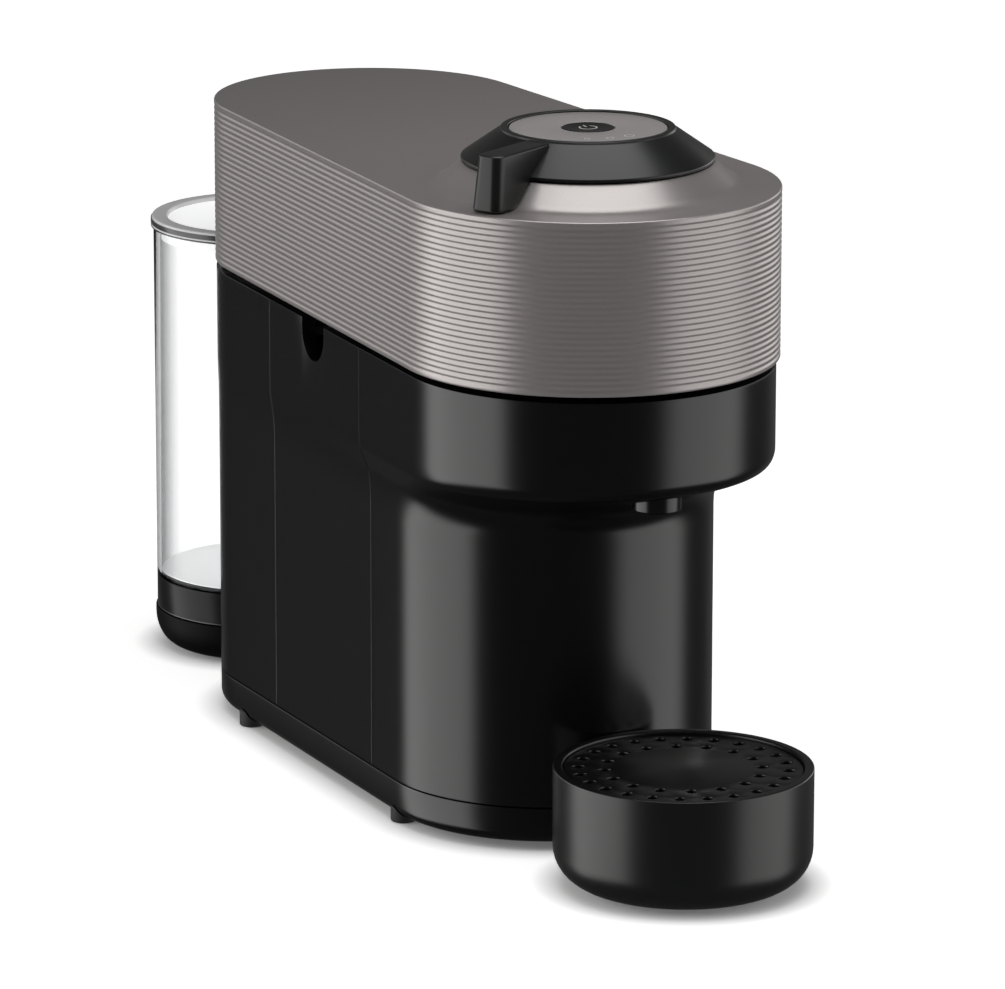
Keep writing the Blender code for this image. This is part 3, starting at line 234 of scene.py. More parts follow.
def lay_floor():
    """A pale floor that glows less where the object closes it in, as a contact shadow."""
    bm = bmesh.new()
    bmesh.ops.create_grid(bm, x_segments=1, y_segments=1, size=14.0)
    mesh = bpy.data.meshes.new("floor")
    bm.to_mesh(mesh)
    bm.free()
    made = bpy.data.materials.new("floor_white")
    made.use_nodes = True
    shader = made.node_tree.nodes["Principled BSDF"]
    shader.inputs["Base Color"].default_value = (0.86, 0.86, 0.86, 1.0)
    shader.inputs["Roughness"].default_value = 0.9
    shader.inputs["Specular IOR Level"].default_value = 0.0
    shader.inputs["Emission Color"].default_value = (1.0, 1.0, 1.0, 1.0)
    open_sky = made.node_tree.nodes.new("ShaderNodeAmbientOcclusion")
    open_sky.samples = 12
    open_sky.inputs["Distance"].default_value = FLOOR_REACH
    glow = made.node_tree.nodes.new("ShaderNodeMapRange")
    glow.inputs["From Min"].default_value = 0.30
    glow.inputs["To Min"].default_value = FLOOR_DARK
    glow.inputs["To Max"].default_value = FLOOR_BRIGHT
    made.node_tree.links.new(open_sky.outputs["AO"], glow.inputs["Value"])
    made.node_tree.links.new(glow.outputs[0], shader.inputs["Emission Strength"])
    mesh.materials.append(made)
    floor = bpy.data.objects.new("floor", mesh)
    floor.visible_glossy = False
    bpy.context.scene.collection.objects.link(floor)


# ---------------------------------------------------------------- materials
def material(
    name,
    colour,
    roughness,
    metallic=0.0,
    tint=0.06,
    smudge=0.05,
    grain=0.0,
    size=0.0004,
    specular=0.5,
    glow=0.0,
):
    """A Principled surface with slow colour and gloss variation and a fine moulded grain.

    tint and smudge are the share by which colour and roughness vary, grain the height of the
    bumps and size their spacing, both in metres, and glow the white light that it gives off.
    """
    made = bpy.data.materials.new(name)
    made.use_nodes = True
    tree = made.node_tree
    nodes, links = tree.nodes, tree.links
    shader = nodes["Principled BSDF"]
    shader.inputs["Metallic"].default_value = metallic
    shader.inputs["Specular IOR Level"].default_value = specular
    if glow:
        shader.inputs["Emission Color"].default_value = (1.0, 1.0, 1.0, 1.0)
        shader.inputs["Emission Strength"].default_value = glow
    coords = nodes.new("ShaderNodeTexCoord")

    slow = nodes.new("ShaderNodeTexNoise")
    slow.inputs["Scale"].default_value = 28.0
    slow.inputs["Detail"].default_value = 3.0
    links.new(coords.outputs["Object"], slow.inputs["Vector"])
    ramp = nodes.new("ShaderNodeValToRGB")
    for element, share in zip(ramp.color_ramp.elements, (1 - tint, 1 + tint)):
        element.color = (*(min(1.0, channel * share) for channel in colour), 1.0)
    links.new(slow.outputs["Fac"], ramp.inputs["Fac"])
    links.new(ramp.outputs["Color"], shader.inputs["Base Color"])

    fine = nodes.new("ShaderNodeTexNoise")
    fine.inputs["Scale"].default_value = 160.0
    fine.inputs["Detail"].default_value = 4.0
    links.new(coords.outputs["Object"], fine.inputs["Vector"])
    spread = nodes.new("ShaderNodeMapRange")
    spread.inputs["To Min"].default_value = roughness * (1 - smudge)
    spread.inputs["To Max"].default_value = roughness * (1 + smudge)
    links.new(fine.outputs["Fac"], spread.inputs["Value"])
    links.new(spread.outputs[0], shader.inputs["Roughness"])

    if grain:
        cells = nodes.new("ShaderNodeTexNoise")
        cells.inputs["Scale"].default_value = 1.0 / size
        cells.inputs["Detail"].default_value = 1.0
        links.new(coords.outputs["Object"], cells.inputs["Vector"])
        bump = nodes.new("ShaderNodeBump")
        bump.inputs["Strength"].default_value = 1.0
        bump.inputs["Distance"].default_value = grain
        links.new(cells.outputs["Fac"], bump.inputs["Height"])
        links.new(bump.outputs["Normal"], shader.inputs["Normal"])
    return made


def metallic_lacquer(name, colour, roughness, metallic):
    """Lacquer with fine bright flakes."""
    made = material(name, colour, roughness, metallic, tint=0.02, smudge=0.05)
    tree = made.node_tree
    nodes, links = tree.nodes, tree.links
    shader = nodes["Principled BSDF"]
    old = shader.inputs["Base Color"].links[0].from_socket
    coords = nodes.new("ShaderNodeTexCoord")
    flakes = nodes.new("ShaderNodeTexVoronoi")
    flakes.inputs["Scale"].default_value = 4200.0
    links.new(coords.outputs["Object"], flakes.inputs["Vector"])
    bright = nodes.new("ShaderNodeMapRange")
    bright.inputs["To Min"].default_value = 0.97
    bright.inputs["To Max"].default_value = 1.03
    split = nodes.new("ShaderNodeSeparateColor")
    links.new(flakes.outputs["Color"], split.inputs["Color"])
    links.new(split.outputs["Red"], bright.inputs["Value"])
    mix = nodes.new("ShaderNodeMix")
    mix.data_type = "RGBA"
    mix.blend_type = "MULTIPLY"
    mix.inputs["Factor"].default_value = 1.0
    links.new(old, mix.inputs["A"])
    links.new(bright.outputs[0], mix.inputs["B"])
    links.new(mix.outputs["Result"], shader.inputs["Base Color"])
    return made


def clear_plastic(name, colour, edge_shade_colour, roughness):
    """Clear moulding whose colour greys where the wall turns away: painted shade that stands in for
    the longer way through it.
    """
    made = bpy.data.materials.new(name)
    made.use_nodes = True
    tree = made.node_tree
    nodes, links = tree.nodes, tree.links
    shader = nodes["Principled BSDF"]
    # painted shade: the base colour runs from the clear colour to the grey edge colour as the wall
    # turns away
    facing = nodes.new("ShaderNodeLayerWeight")
    facing.inputs["Blend"].default_value = 0.50
    ramp = nodes.new("ShaderNodeValToRGB")
    ramp.color_ramp.elements[0].position = 0.36
    ramp.color_ramp.elements[1].position = 0.80
    ramp.color_ramp.elements[0].color = (*colour, 1.0)
    ramp.color_ramp.elements[1].color = (*edge_shade_colour, 1.0)
    links.new(facing.outputs["Facing"], ramp.inputs["Fac"])
    links.new(ramp.outputs["Color"], shader.inputs["Base Color"])
    shader.inputs["Roughness"].default_value = roughness
    shader.inputs["Transmission Weight"].default_value = 1.0
    shader.inputs["IOR"].default_value = 1.07
    return made


# the grey of the painted shade at the clear walls' edges
CLEAR_EDGE_SHADE = (0.25, 0.255, 0.26)
MATERIALS = {
    "hood_taupe": metallic_lacquer("hood_taupe", (0.300, 0.279, 0.274), 0.31, 0.58),
    "disc_taupe": metallic_lacquer("disc_taupe", (0.350, 0.329, 0.324), 0.24, 0.35),
    "body_black": material(
        "body_black", (0.0022, 0.0024, 0.0023), 0.24, grain=0.000004, size=0.0005
    ),
    "knob_black": material(
        "knob_black", (0.0056, 0.0062, 0.0059), 0.31, grain=0.000008, specular=0.36
    ),
    "gloss_black": material("gloss_black", (0.0030, 0.0030, 0.0032), 0.05, specular=0.12),
    "stand_charcoal": material("stand_charcoal", (0.0045, 0.0050, 0.0047), 0.32, grain=0.000006),
    "tank_clear": clear_plastic("tank_clear", (0.985, 0.99, 0.99), CLEAR_EDGE_SHADE, 0.0),
    # its glow stands for light that the tank's clear walls gather
    "tank_pale": material("tank_pale", (0.80, 0.81, 0.82), 0.40, glow=0.50),
    "foot_line": material("foot_line", (0.050, 0.050, 0.052), 0.30),
    "skirt_smoke": material("skirt_smoke", (0.0070, 0.0070, 0.0072), 0.24, specular=0.16),
    "lid_frost": material("lid_frost", (0.62, 0.62, 0.63), 0.25),
    "lid_smoke": material("lid_smoke", (0.045, 0.045, 0.047), 0.20),
    "inner_dark": material("inner_dark", (0.030, 0.030, 0.032), 0.50, grain=0.00003, size=0.0006),
    "rubber_black": material("rubber_black", (0.012, 0.012, 0.012), 0.72, grain=0.00003),
    "steel": material("steel", (0.56, 0.56, 0.57), 0.32, 1.0, smudge=0.3, grain=0.000004),
    "motor_metal": material("motor_metal", (0.46, 0.25, 0.13), 0.36, 1.0, smudge=0.3),
    "board_green": material("board_green", (0.015, 0.11, 0.045), 0.42, tint=0.2),
    "hose_white": material("hose_white", (0.72, 0.72, 0.69), 0.38),
    "heater_alloy": material(
        "heater_alloy", (0.48, 0.48, 0.49), 0.45, 1.0, smudge=0.3, grain=0.00004
    ),
    "mark_pale": material("mark_pale", (0.46, 0.44, 0.43), 0.35),
    "dock_black": material("dock_black", (0.0022, 0.0022, 0.0022), 0.45, specular=0.05),
}


# ---------------------------------------------------------------- shape tools
def add_piece(name, bm, body, slot, replaces=(), sharp=SHARP_EDGE):
    """A piece from world-space geometry that rides a body, with the slot's material."""
    bmesh.ops.recalc_face_normals(bm, faces=bm.faces)
    mesh = bpy.data.meshes.new(name)
    bm.to_mesh(mesh)
    bm.free()
    mesh.materials.append(MATERIALS[slot])
    mesh.shade_smooth()
    mesh.set_sharp_from_angle(angle=sharp)
    piece = bpy.data.objects.new(name, mesh)
    bpy.context.scene.collection.objects.link(piece)
    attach(piece, body)
    if replaces:
        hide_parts(*replaces)
    return piece


def quarter_turn(steps):
    """Angles from 0 to a right angle."""
    return [math.pi / 2 * step / steps for step in range(steps + 1)]


def rounded(corners, steps=5, closed=False):
    """(across, up, radius) corners as points, each corner with a radius turned into an arc."""
    points = []
    count = len(corners)
    for index, (across, up, radius) in enumerate(corners):
        here = Vector((across, up))
        at_end = not closed and index in (0, count - 1)
        if radius == 0 or at_end:
            points.append((across, up))
            continue
        before = (Vector(corners[index - 1][:2]) - here).normalized()
        after = (Vector(corners[(index + 1) % count][:2]) - here).normalized()
        half = before.angle(after) / 2
        centre = here + (before + after).normalized() * radius / math.sin(half)
        start = here + before * radius / math.tan(half) - centre
        end = here + after * radius / math.tan(half) - centre
        total = start.angle(end)
        for step in range(steps + 1):
            share = step / steps
            point = start * math.sin((1 - share) * total) + end * math.sin(share * total)
            points.append(tuple(centre + point / math.sin(total)))
    return points


def turned(profile, y, x=0.0, steps=128):
    """The (radius, z) profile turned about the vertical through (x, y).

    A profile that starts at radius 0 stays open there, and any other is closed.
    """
    bm = bmesh.new()
    verts = [bm.verts.new((x + r, y, z)) for r, z in profile]
    edges = [bm.edges.new(pair) for pair in zip(verts, verts[1:])]
    if profile[0][0] > 0:
        edges.append(bm.edges.new((verts[-1], verts[0])))
    bmesh.ops.spin(
        bm,
        geom=verts + edges,
        cent=(x, y, 0.0),
        axis=(0.0, 0.0, 1.0),
        angle=math.tau,
        steps=steps,
        use_merge=True,
    )
    bmesh.ops.remove_doubles(bm, verts=bm.verts, dist=1e-7)
    return bm


def plan_place(plan, station, inset):
    """(x, y) on the plan's outline, moved in by inset.

    A station is ("side", y, sign) on a straight side, or ("front" or "rear", share) on an arc.
    """
    (front_r, front_y), (rear_r, rear_y) = plan
    lean = math.asin((front_r - rear_r) / (rear_y - front_y))
    if station[0] == "side":
        _, y, sign = station
        x = (front_r - inset + (front_y - y) * math.sin(lean)) / math.cos(lean)
        return sign * x, y
    if station[0] == "front":
        radius, y = front_r - inset, front_y
        angle = (math.pi - lean) + (math.pi + 2 * lean) * station[1]
    else:
        radius, y = rear_r - inset, rear_y
        angle = lean + (math.pi - 2 * lean) * station[1]
    return radius * math.cos(angle), y + radius * math.sin(angle)


def whole_plan():
    """Stations round both ends of a plan; its sides run straight between them."""
    stations = [("front", step / ARC_STEPS) for step in range(ARC_STEPS + 1)]
    stations += [("rear", step / ARC_STEPS) for step in range(ARC_STEPS + 1)]
    return stations


def plan_ring(plan, inset, z):
    return [(*plan_place(plan, station, inset), z) for station in whole_plan()]


def ring_verts(bm, points):
    return [bm.verts.new(point) for point in points]


def bridge(bm, lower, upper):
    """Faces between two rings with the same number of points."""
    for index, vert in enumerate(lower):
        after = (index + 1) % len(lower)
        bm.faces.new((vert, lower[after], upper[after], upper[index]))


def stack(bm, rings):
    """Faces through rings of points, one after another; returns the rings' vertices."""
    rows = [ring_verts(bm, ring) for ring in rings]
    for lower, upper in zip(rows, rows[1:]):
        bridge(bm, lower, upper)
    return rows


def fill_between(bm, *loops):
    """Flat triangles between closed loops of vertices, the first outermost."""
    edges = []
    for loop in loops:
        for index, vert in enumerate(loop):
            pair = (vert, loop[(index + 1) % len(loop)])
            edges.append(bm.edges.get(pair) or bm.edges.new(pair))
    bmesh.ops.triangle_fill(bm, edges=edges, use_beauty=True)


def circle(radius, y, z, steps):
    turns = [math.tau * step / steps for step in range(steps)]
    return [(radius * math.cos(turn), y + radius * math.sin(turn), z) for turn in turns]


def loft(rings):
    """A solid through rings of points, with both ends closed."""
    bm = bmesh.new()
    rows = stack(bm, rings)
    bm.faces.new(rows[0])
    bm.faces.new(rows[-1])
    return bm


def block(low, high):
    bm = bmesh.new()
    low, high = Vector(low), Vector(high)
    place = Matrix.Translation((low + high) / 2) @ Matrix.Diagonal((*(high - low), 1.0))
    bmesh.ops.create_cube(bm, size=1.0, matrix=place)
    return bm


def rod(start, end, radius, sides=48):
    bm = bmesh.new()
    start, end = Vector(start), Vector(end)
    turn = (end - start).to_track_quat("Z", "Y").to_matrix().to_4x4()
    bmesh.ops.create_cone(
        bm,
        cap_ends=True,
        segments=sides,
        radius1=radius,
        radius2=radius,
        depth=(end - start).length,
        matrix=Matrix.Translation((start + end) / 2) @ turn,
    )
    return bm


def join_meshes(first, second):
    """Adds the second bmesh to the first, and frees it."""
    mesh = bpy.data.meshes.new("join")
    second.to_mesh(mesh)
    second.free()
    first.from_mesh(mesh)
    bpy.data.meshes.remove(mesh)
    return first


def cut(piece, *shapes):
    """Cuts shapes out of the piece, with the result applied."""
    for bm in shapes:
        mesh = bpy.data.meshes.new("cutter")
        bmesh.ops.recalc_face_normals(bm, faces=bm.faces)
        bm.to_mesh(mesh)
        bm.free()
        tool = bpy.data.objects.new("cutter", mesh)
        bpy.context.scene.collection.objects.link(tool)
        modifier = piece.modifiers.new("cut", "BOOLEAN")
        modifier.object = tool
        modifier.operation = "DIFFERENCE"
        modifier.solver = "EXACT"
        apply_modifiers(piece)
        bpy.data.objects.remove(tool, do_unlink=True)


def soften(piece, width, segments=3, angle=40):
    """Rounds every edge sharper than the angle."""
    modifier = piece.modifiers.new("edges", "BEVEL")
    modifier.width = width
    modifier.segments = segments
    modifier.limit_method = "ANGLE"
    modifier.angle_limit = math.radians(angle)
    modifier.harden_normals = False
    apply_modifiers(piece)


def apply_modifiers(piece):
    graph = bpy.context.evaluated_depsgraph_get()
    mesh = bpy.data.meshes.new_from_object(piece.evaluated_get(graph))
    old = piece.data
    piece.modifiers.clear()
    piece.data = mesh
    bpy.data.meshes.remove(old)
    mesh.shade_smooth()
    mesh.set_sharp_from_angle(angle=SHARP_EDGE)


# ---------------------------------------------------------------- hood
def make_hood():
    """Ribbed hood with a soft upper edge and a cone that the lever's ring sits over."""
    bm = bmesh.new()
    outside = [(HOOD_WALL, HOOD_BOTTOM), (0.0006, HOOD_BOTTOM)]
    outside += [(0.0002, HOOD_BOTTOM + 0.0002), (0.0, HOOD_BOTTOM + 0.0006), (0.0, RIB_LOW)]
    for step in range(1, RIB_COUNT * RIB_STEPS):
        share = step / RIB_STEPS
        depth = RIB_DEPTH * (0.5 - 0.5 * math.cos(math.tau * share))
        outside.append((depth, RIB_LOW + RIB_PITCH * share))
    rib_high = RIB_LOW + RIB_PITCH * RIB_COUNT
    outside.append((0.0, rib_high))
    for angle in quarter_turn(8):
        inset = HOOD_EDGE * (1 - math.cos(angle))
        outside.append((inset, HOOD_TOP - HOOD_EDGE + HOOD_EDGE * math.sin(angle)))
    outside.append((HOOD_EDGE + 0.0003, HOOD_TOP))
    rows = stack(bm, [plan_ring(HOOD_PLAN, inset, z) for inset, z in outside])

    foot = rounded(
        [
            (0.0600, HOOD_TOP, 0),
            (PLINTH_FOOT_R, HOOD_TOP, PLINTH_BEND),
            (PLINTH_TOP_R, PLINTH_TOP, 0.0005),
            (SHAFT_R + 0.0006, PLINTH_TOP, 0),
        ],
        8,
    )[1:]
    foot.insert(0, (foot[0][0] + 0.0004, HOOD_TOP))
    foot.append((SHAFT_R + 0.0006, HOOD_TOP - HOOD_ROOF))
    cone = stack(bm, [circle(radius, BREW_Y, z, ROUND_STEPS) for radius, z in foot])
    fill_between(bm, rows[-1], cone[0])
    inside = ring_verts(bm, plan_ring(HOOD_PLAN, HOOD_WALL, HOOD_TOP - HOOD_ROOF))
    bridge(bm, inside, rows[0])
    fill_between(bm, inside, cone[-1])
    add_piece("hood", bm, "head", "hood_taupe", ["head_cover"], sharp=math.radians(50))


# ---------------------------------------------------------------- knob, lever, disc and button
def blade_outline(z, inset, inner_r, inner_corner):
    """The lever's plan at height z, moved in by inset; it widens downwards."""
    fall = (KNOB_TOP - z) / (KNOB_TOP - HOOD_TOP)
    half = LEVER_HALF + LEVER_SIDE_DRAFT * fall - inset
    tip = LEVER_TIP_R + LEVER_TIP_DRAFT * fall - inset
    corner = LEVER_CORNER - inset
    corners = [(inner_r, -half, inner_corner), (tip, -half, corner), (tip, half, corner)]
    corners.append((inner_r, half, inner_corner))
    return [(across, along, z) for across, along in rounded(corners, 8, closed=True)]


def lever_blade():
    """The lever's bar, with its underside clear of the hood's cone."""
    quarter = quarter_turn(6)
    levels = [(KNOB_BOTTOM, 0.0), (0.2430, 0.0), (0.2465, 0.0)]
    for angle in quarter:
        z = DISC_TOP - LEVER_EDGE * (1 - math.sin(angle))
        levels.append((z, LEVER_EDGE * (1 - math.cos(angle))))
    blade = loft([blade_outline(z, inset, LEVER_INNER_R, 0.0030) for z, inset in levels])

    low = HOOD_TOP + GAP
    under = rounded(
        [
            (LEVER_TIP_R, low, 0),
            (PLINTH_FOOT_R + 0.0006, low, 0.0036),
            (PLINTH_TOP_R + 0.0003, KNOB_BOTTOM, 0),
        ],
        10,
    )[1:]
    levels = []
    for angle in reversed(quarter):
        z = low + LEVER_EDGE * (1 - math.sin(angle))
        levels.append((z, LEVER_EDGE * (1 - math.cos(angle))))
    rise = KNOB_BOTTOM - low - LEVER_EDGE
    levels += [(low + LEVER_EDGE + rise * step / 9, 0.0) for step in range(1, 10)]
    rings = []
    for z, inset in levels:
        inner = under[-1][0]
        for (r_low, z_low), (r_high, z_high) in zip(under, under[1:]):
            if z_low <= z < z_high:
                inner = r_low + (r_high - r_low) * (z - z_low) / (z_high - z_low)
        rings.append(blade_outline(z, inset, inner + inset, 0.0004))
    join_meshes(blade, loft(rings))
    turn = Matrix.Rotation(-math.pi / 2 - LEVER_ANGLE, 4, "Z")
    bmesh.ops.transform(blade, matrix=Matrix.Translation((0, BREW_Y, 0)) @ turn, verts=blade.verts)
    return blade


def make_lever():
    """Ring with its cone, the lever that grows out of it, and the shaft below, in one piece."""
    profile = rounded(
        [
            (DISC_R + GAP, KNOB_BOTTOM, 0),
            (DISC_R + GAP, KNOB_TOP, 0.0004),
            (KNOB_RIM_R - 0.0001, KNOB_TOP, 0.0005),
            (KNOB_RIM_R + 0.0004, KNOB_TOP - 0.0008, 0.0004),
            (KNOB_CORNER_R, KNOB_BOTTOM, 0.0008),
            (KNOB_CORNER_R - 0.0080, KNOB_BOTTOM, 0),
        ],
        6,
    )
    bm = turned(profile, BREW_Y, steps=160)
    shaft = [(SHAFT_BORE_R, SHAFT_LOW), (SHAFT_R, SHAFT_LOW)]
    shaft += [(SHAFT_R, SHAFT_HIGH), (SHAFT_BORE_R, SHAFT_HIGH)]
    join_meshes(bm, turned(shaft, BREW_Y, steps=64))
    join_meshes(bm, lever_blade())
    add_piece("lever", bm, "lever", "knob_black", ["lock_lever"], sharp=math.radians(45))


def flat_strip(points, width, z, thickness=0.00003):
    """A thin raised band along (x, y) points."""
    bm = bmesh.new()
    rows = []
    for index, point in enumerate(points):
        before = Vector(points[max(index - 1, 0)])
        after = Vector(points[min(index + 1, len(points) - 1)])
        across = (after - before).normalized().orthogonal() * width / 2
        left, right = Vector(point) + across, Vector(point) - across
        rows.append(
            [
                bm.verts.new((*left, z)),
                bm.verts.new((*right, z)),
                bm.verts.new((*right, z + thickness)),
                bm.verts.new((*left, z + thickness)),
            ]
        )
    for near, far in zip(rows, rows[1:]):
        bridge(bm, near, far)
    bm.faces.new(rows[0])
    bm.faces.new(rows[-1])
    return bm


def arc_points(radius, start, end, x, y, steps):
    """Points round (x, y) from the start angle to the end angle, both in degrees."""
    points = []
    for step in range(steps + 1):
        angle = math.radians(start + (end - start) * step / steps)
        points.append((x + radius * math.cos(angle), y + radius * math.sin(angle)))
    return points


def make_disc():
    """The fixed disc in the lever's ring, its small printed marks, and the start button."""
    bore = BUTTON_R + GAP * 0.6
    profile = rounded(
        [
            (bore, DISC_LOW, 0),
            (bore, DISC_TOP, 0.00025),
            (DISC_R, DISC_TOP, 0.00035),
            (DISC_R, DISC_LOW, 0),
        ],
        4,
    )
    bm = turned(profile, BREW_Y, steps=160)
    stem = [(0.0, STEM_HIGH), (STEM_R, STEM_HIGH), (STEM_R, STEM_LOW), (0.0, STEM_LOW)]
    join_meshes(bm, turned(stem, BREW_Y, steps=48))
    add_piece("disc", bm, "head", "disc_taupe", ["display_disc"])

    marks = bmesh.new()
    for direction, radius in ((-118, 0.0009), (-96, 0.0013), (-74, 0.0017)):
        angle = math.radians(direction)
        x, y = MARK_CIRCLE_R * math.cos(angle), BREW_Y + MARK_CIRCLE_R * math.sin(angle)
        strip = arc_points(radius, 0, 360, x, y, 20)
        join_meshes(marks, flat_strip(strip, MARK_WIDTH, DISC_TOP))
    add_piece("disc_marks", marks, "head", "mark_pale")

    face = BUTTON_TOP - 0.0002
    profile = rounded(
        [
            (0.0, face - 0.0003, 0),
            (0.0040, face - 0.00026, 0),
            (0.0078, face - 0.0001, 0.002),
            (BUTTON_R, face, 0.0004),
            (BUTTON_R, BUTTON_LOW, 0),
            (0.0, BUTTON_LOW, 0),
        ],
        5,
    )
    button = turned(profile, BREW_Y, steps=96)
    add_piece("button", button, "button", "gloss_black", ["start_button"])
    arc = arc_points(0.0030, 125, 415, 0.0, BREW_Y, 32)
    bar = [(0.0, BREW_Y + 0.0012), (0.0, BREW_Y + 0.0038)]
    sign = flat_strip(arc, SIGN_WIDTH, face - 0.00022, 0.00004)
    join_meshes(sign, flat_strip(bar, SIGN_WIDTH, face - 0.00022, 0.00004))
    add_piece("button_sign", sign, "button", "mark_pale")


# ---------------------------------------------------------------- body
def body_profile():
    """(share, z) down the body's outside; share runs from the band's plan to the column's."""
    turn = math.pi / 2 - SLOPE_ANGLE
    rows = [(0.0, BODY_TOP), (0.0, BODY_TOP - 0.0010)]
    steps = 10
    convex = []
    for step in range(steps + 1):
        angle = math.pi + turn * step / steps
        across = CONVEX_R + CONVEX_R * math.cos(angle)
        convex.append((across, SLOPE_TOP + CONVEX_R * math.sin(angle)))
    drop = (SLOPE_DEPTH - CONCAVE_R * (1 - math.cos(turn))) - convex[-1][0]
    foot_z = convex[-1][1] - drop * math.tan(SLOPE_ANGLE) - CONCAVE_R * math.sin(turn)
    concave = []
    for step in range(steps + 1):
        angle = turn * (1 - step / steps)
        across = SLOPE_DEPTH - CONCAVE_R + CONCAVE_R * math.cos(angle)
        concave.append((across, foot_z + CONCAVE_R * math.sin(angle)))
    first, last = convex[-1], concave[0]
    between = [
        (first[0] + (last[0] - first[0]) * s, first[1] + (last[1] - first[1]) * s)
        for s in (0.02, 0.35, 0.65, 0.98)
    ]
    rows += [(depth / SLOPE_DEPTH, z) for depth, z in convex + between + concave]
    rows += [(1.0, foot_z - 0.0010), (1.0, BODY_BOTTOM + 0.0010), (1.0, BODY_BOTTOM)]
    return rows


def blend_plan(share):
    """The plan at a share of the way from the band's to the column's."""
    return tuple(
        tuple(a + (b - a) * share for a, b in zip(one, other))
        for one, other in zip(BAND_PLAN, COLUMN_PLAN)
    )


def body_wall(stations):
    """The body's wall along the stations, closed at its top, bottom and both ends."""
    outer = body_profile()
    rings = []
    for station in stations:
        ring = [(*plan_place(blend_plan(share), station, 0.0), z) for share, z in outer]
        ring.append((*plan_place(COLUMN_PLAN, station, WALL), BODY_BOTTOM))
        ring.append((*plan_place(COLUMN_PLAN, station, WALL), 0.1100))
        ring.append((*plan_place(COLUMN_PLAN, station, WALL), BODY_TOP))
        rings.append(ring)
    return loft(rings)


def make_body():
    """Front shell, side panels with finger notches, and rear shell, with fine seams between."""
    seam = FRONT_SEAM_Y
    stations = [("side", seam, 1), ("side", seam - 0.0010, 1)]
    stations += [("front", 1 - step / ARC_STEPS) for step in range(ARC_STEPS + 1)]
    stations += [("side", seam - 0.0010, -1), ("side", seam, -1)]
    front = add_piece("body_front", body_wall(stations), "housing", "body_black", ["front_shell"])
    cut(front, rod((0, OUTLET_Y, 0.120), (0, OUTLET_Y, 0.145), OUTLET_R + 0.0006, 64))
    soften(front, SEAM_EDGE)

    low, high = seam + SEAM, REAR_SEAM_Y
    for side, sign in (("left", -1), ("right", 1)):
        ys = [low, low + 0.001, *(low + (high - low) * step / 8 for step in range(1, 8))]
        ys += [high - 0.001, high]
        panel = add_piece(
            f"body_side_{side}",
            body_wall([("side", y, sign) for y in ys]),
            "housing",
            "body_black",
            [f"side_panel_{side}"],
        )
        near, far = sign * 0.02, sign * 0.1
        cut(
            panel,
            rod((near, NOTCH_Y, NOTCH_Z), (far, NOTCH_Y, NOTCH_Z), NOTCH_R, 64),
            block(
                (min(near, far), NOTCH_Y - NOTCH_R, NOTCH_Z),
                (max(near, far), NOTCH_Y + NOTCH_R, 0.18),
            ),
        )
        soften(panel, SEAM_EDGE)

    low = REAR_SEAM_Y + SEAM
    stations = [("side", low, 1), ("side", low + 0.0010, 1)]
    stations += [("rear", step / ARC_STEPS) for step in range(ARC_STEPS + 1)]
    stations += [("side", low + 0.0010, -1), ("side", low, -1)]
    rear = add_piece("body_rear", body_wall(stations), "housing", "body_black", ["rear_shell"])
    dip_y = BAND_PLAN[1][1] + 0.030
    cut(
        rear,
        block((-0.030, dip_y, 0.1639), (0.030, 0.3, 0.2)),
        rod((GLAND.x, 0.08, GLAND.z), (GLAND.x, 0.16, GLAND.z), GLAND_BORE_R, 48),
    )
    soften(rear, SEAM_EDGE)


def make_base():
    """The dish under the body."""
    edge_z = PAN_BOTTOM + PAN_EDGE
    rows = [(WALL, PAN_TOP), (0.0005, PAN_TOP)]
    rows += [(0.00015, PAN_TOP - 0.00015), (0.0, PAN_TOP - 0.0005)]
    for angle in quarter_turn(12):
        rows.append((PAN_EDGE * (1 - math.cos(angle)), edge_z - PAN_EDGE * math.sin(angle)))
    rows.append((PAN_EDGE + 0.0010, PAN_BOTTOM))
    bm = bmesh.new()
    outer = stack(bm, [plan_ring(COLUMN_PLAN, inset, z) for inset, z in rows])
    bm.faces.new(outer[-1])
    inner = ring_verts(bm, plan_ring(COLUMN_PLAN, PAN_EDGE, PAN_BOTTOM + WALL))
    bridge(bm, outer[0], inner)
    bm.faces.new(inner)
    add_piece("base_dish", bm, "housing", "body_black", ["base_pan"])


def make_feet():
    """Round rubber feet that run up round the dish's lower edge."""
    edge_z, reach = PAN_BOTTOM + PAN_EDGE, PAN_EDGE + GAP
    skin = [(-GAP, PAN_TOP), (-GAP, edge_z)]
    for angle in quarter_turn(10)[1:]:
        skin.append((PAN_EDGE - reach * math.cos(angle), edge_z - reach * math.sin(angle)))
    rows = [(0.0, 0.0, 0), (FOOT_R, 0.0, 0.0008)]
    rows += [(FOOT_R, FOOT_HEIGHT, 0.0012), (0.0, FOOT_HEIGHT, 0)]
    for end in ("front", "rear"):
        for side in ("left", "right"):
            node = f"foot_{end}_{side}"
            middle = span(node)[2]
            bm = turned(rounded(rows, 5), middle.y, middle.x, 64)
            foot = add_piece(f"pad_{end}_{side}", bm, "housing", "rubber_black", [node])
            cut(foot, loft([plan_ring(COLUMN_PLAN, inset, z) for inset, z in skin]))


def make_outlet():
    """The spout under the band's slope."""
    profile = rounded(
        [
            (0.0040, 0.1500, 0),
            (0.0040, OUTLET_BOTTOM + 0.0040, 0.0004),
            (0.0056, OUTLET_BOTTOM, 0.0005),
            (OUTLET_R, OUTLET_BOTTOM, 0.0009),
            (OUTLET_R, 0.1460, 0),
            (0.0060, 0.1500, 0),
        ],
        4,
    )
    spout = turned(profile, OUTLET_Y, steps=96)
    add_piece("spout", spout, "housing", "body_black", ["coffee_outlet"])


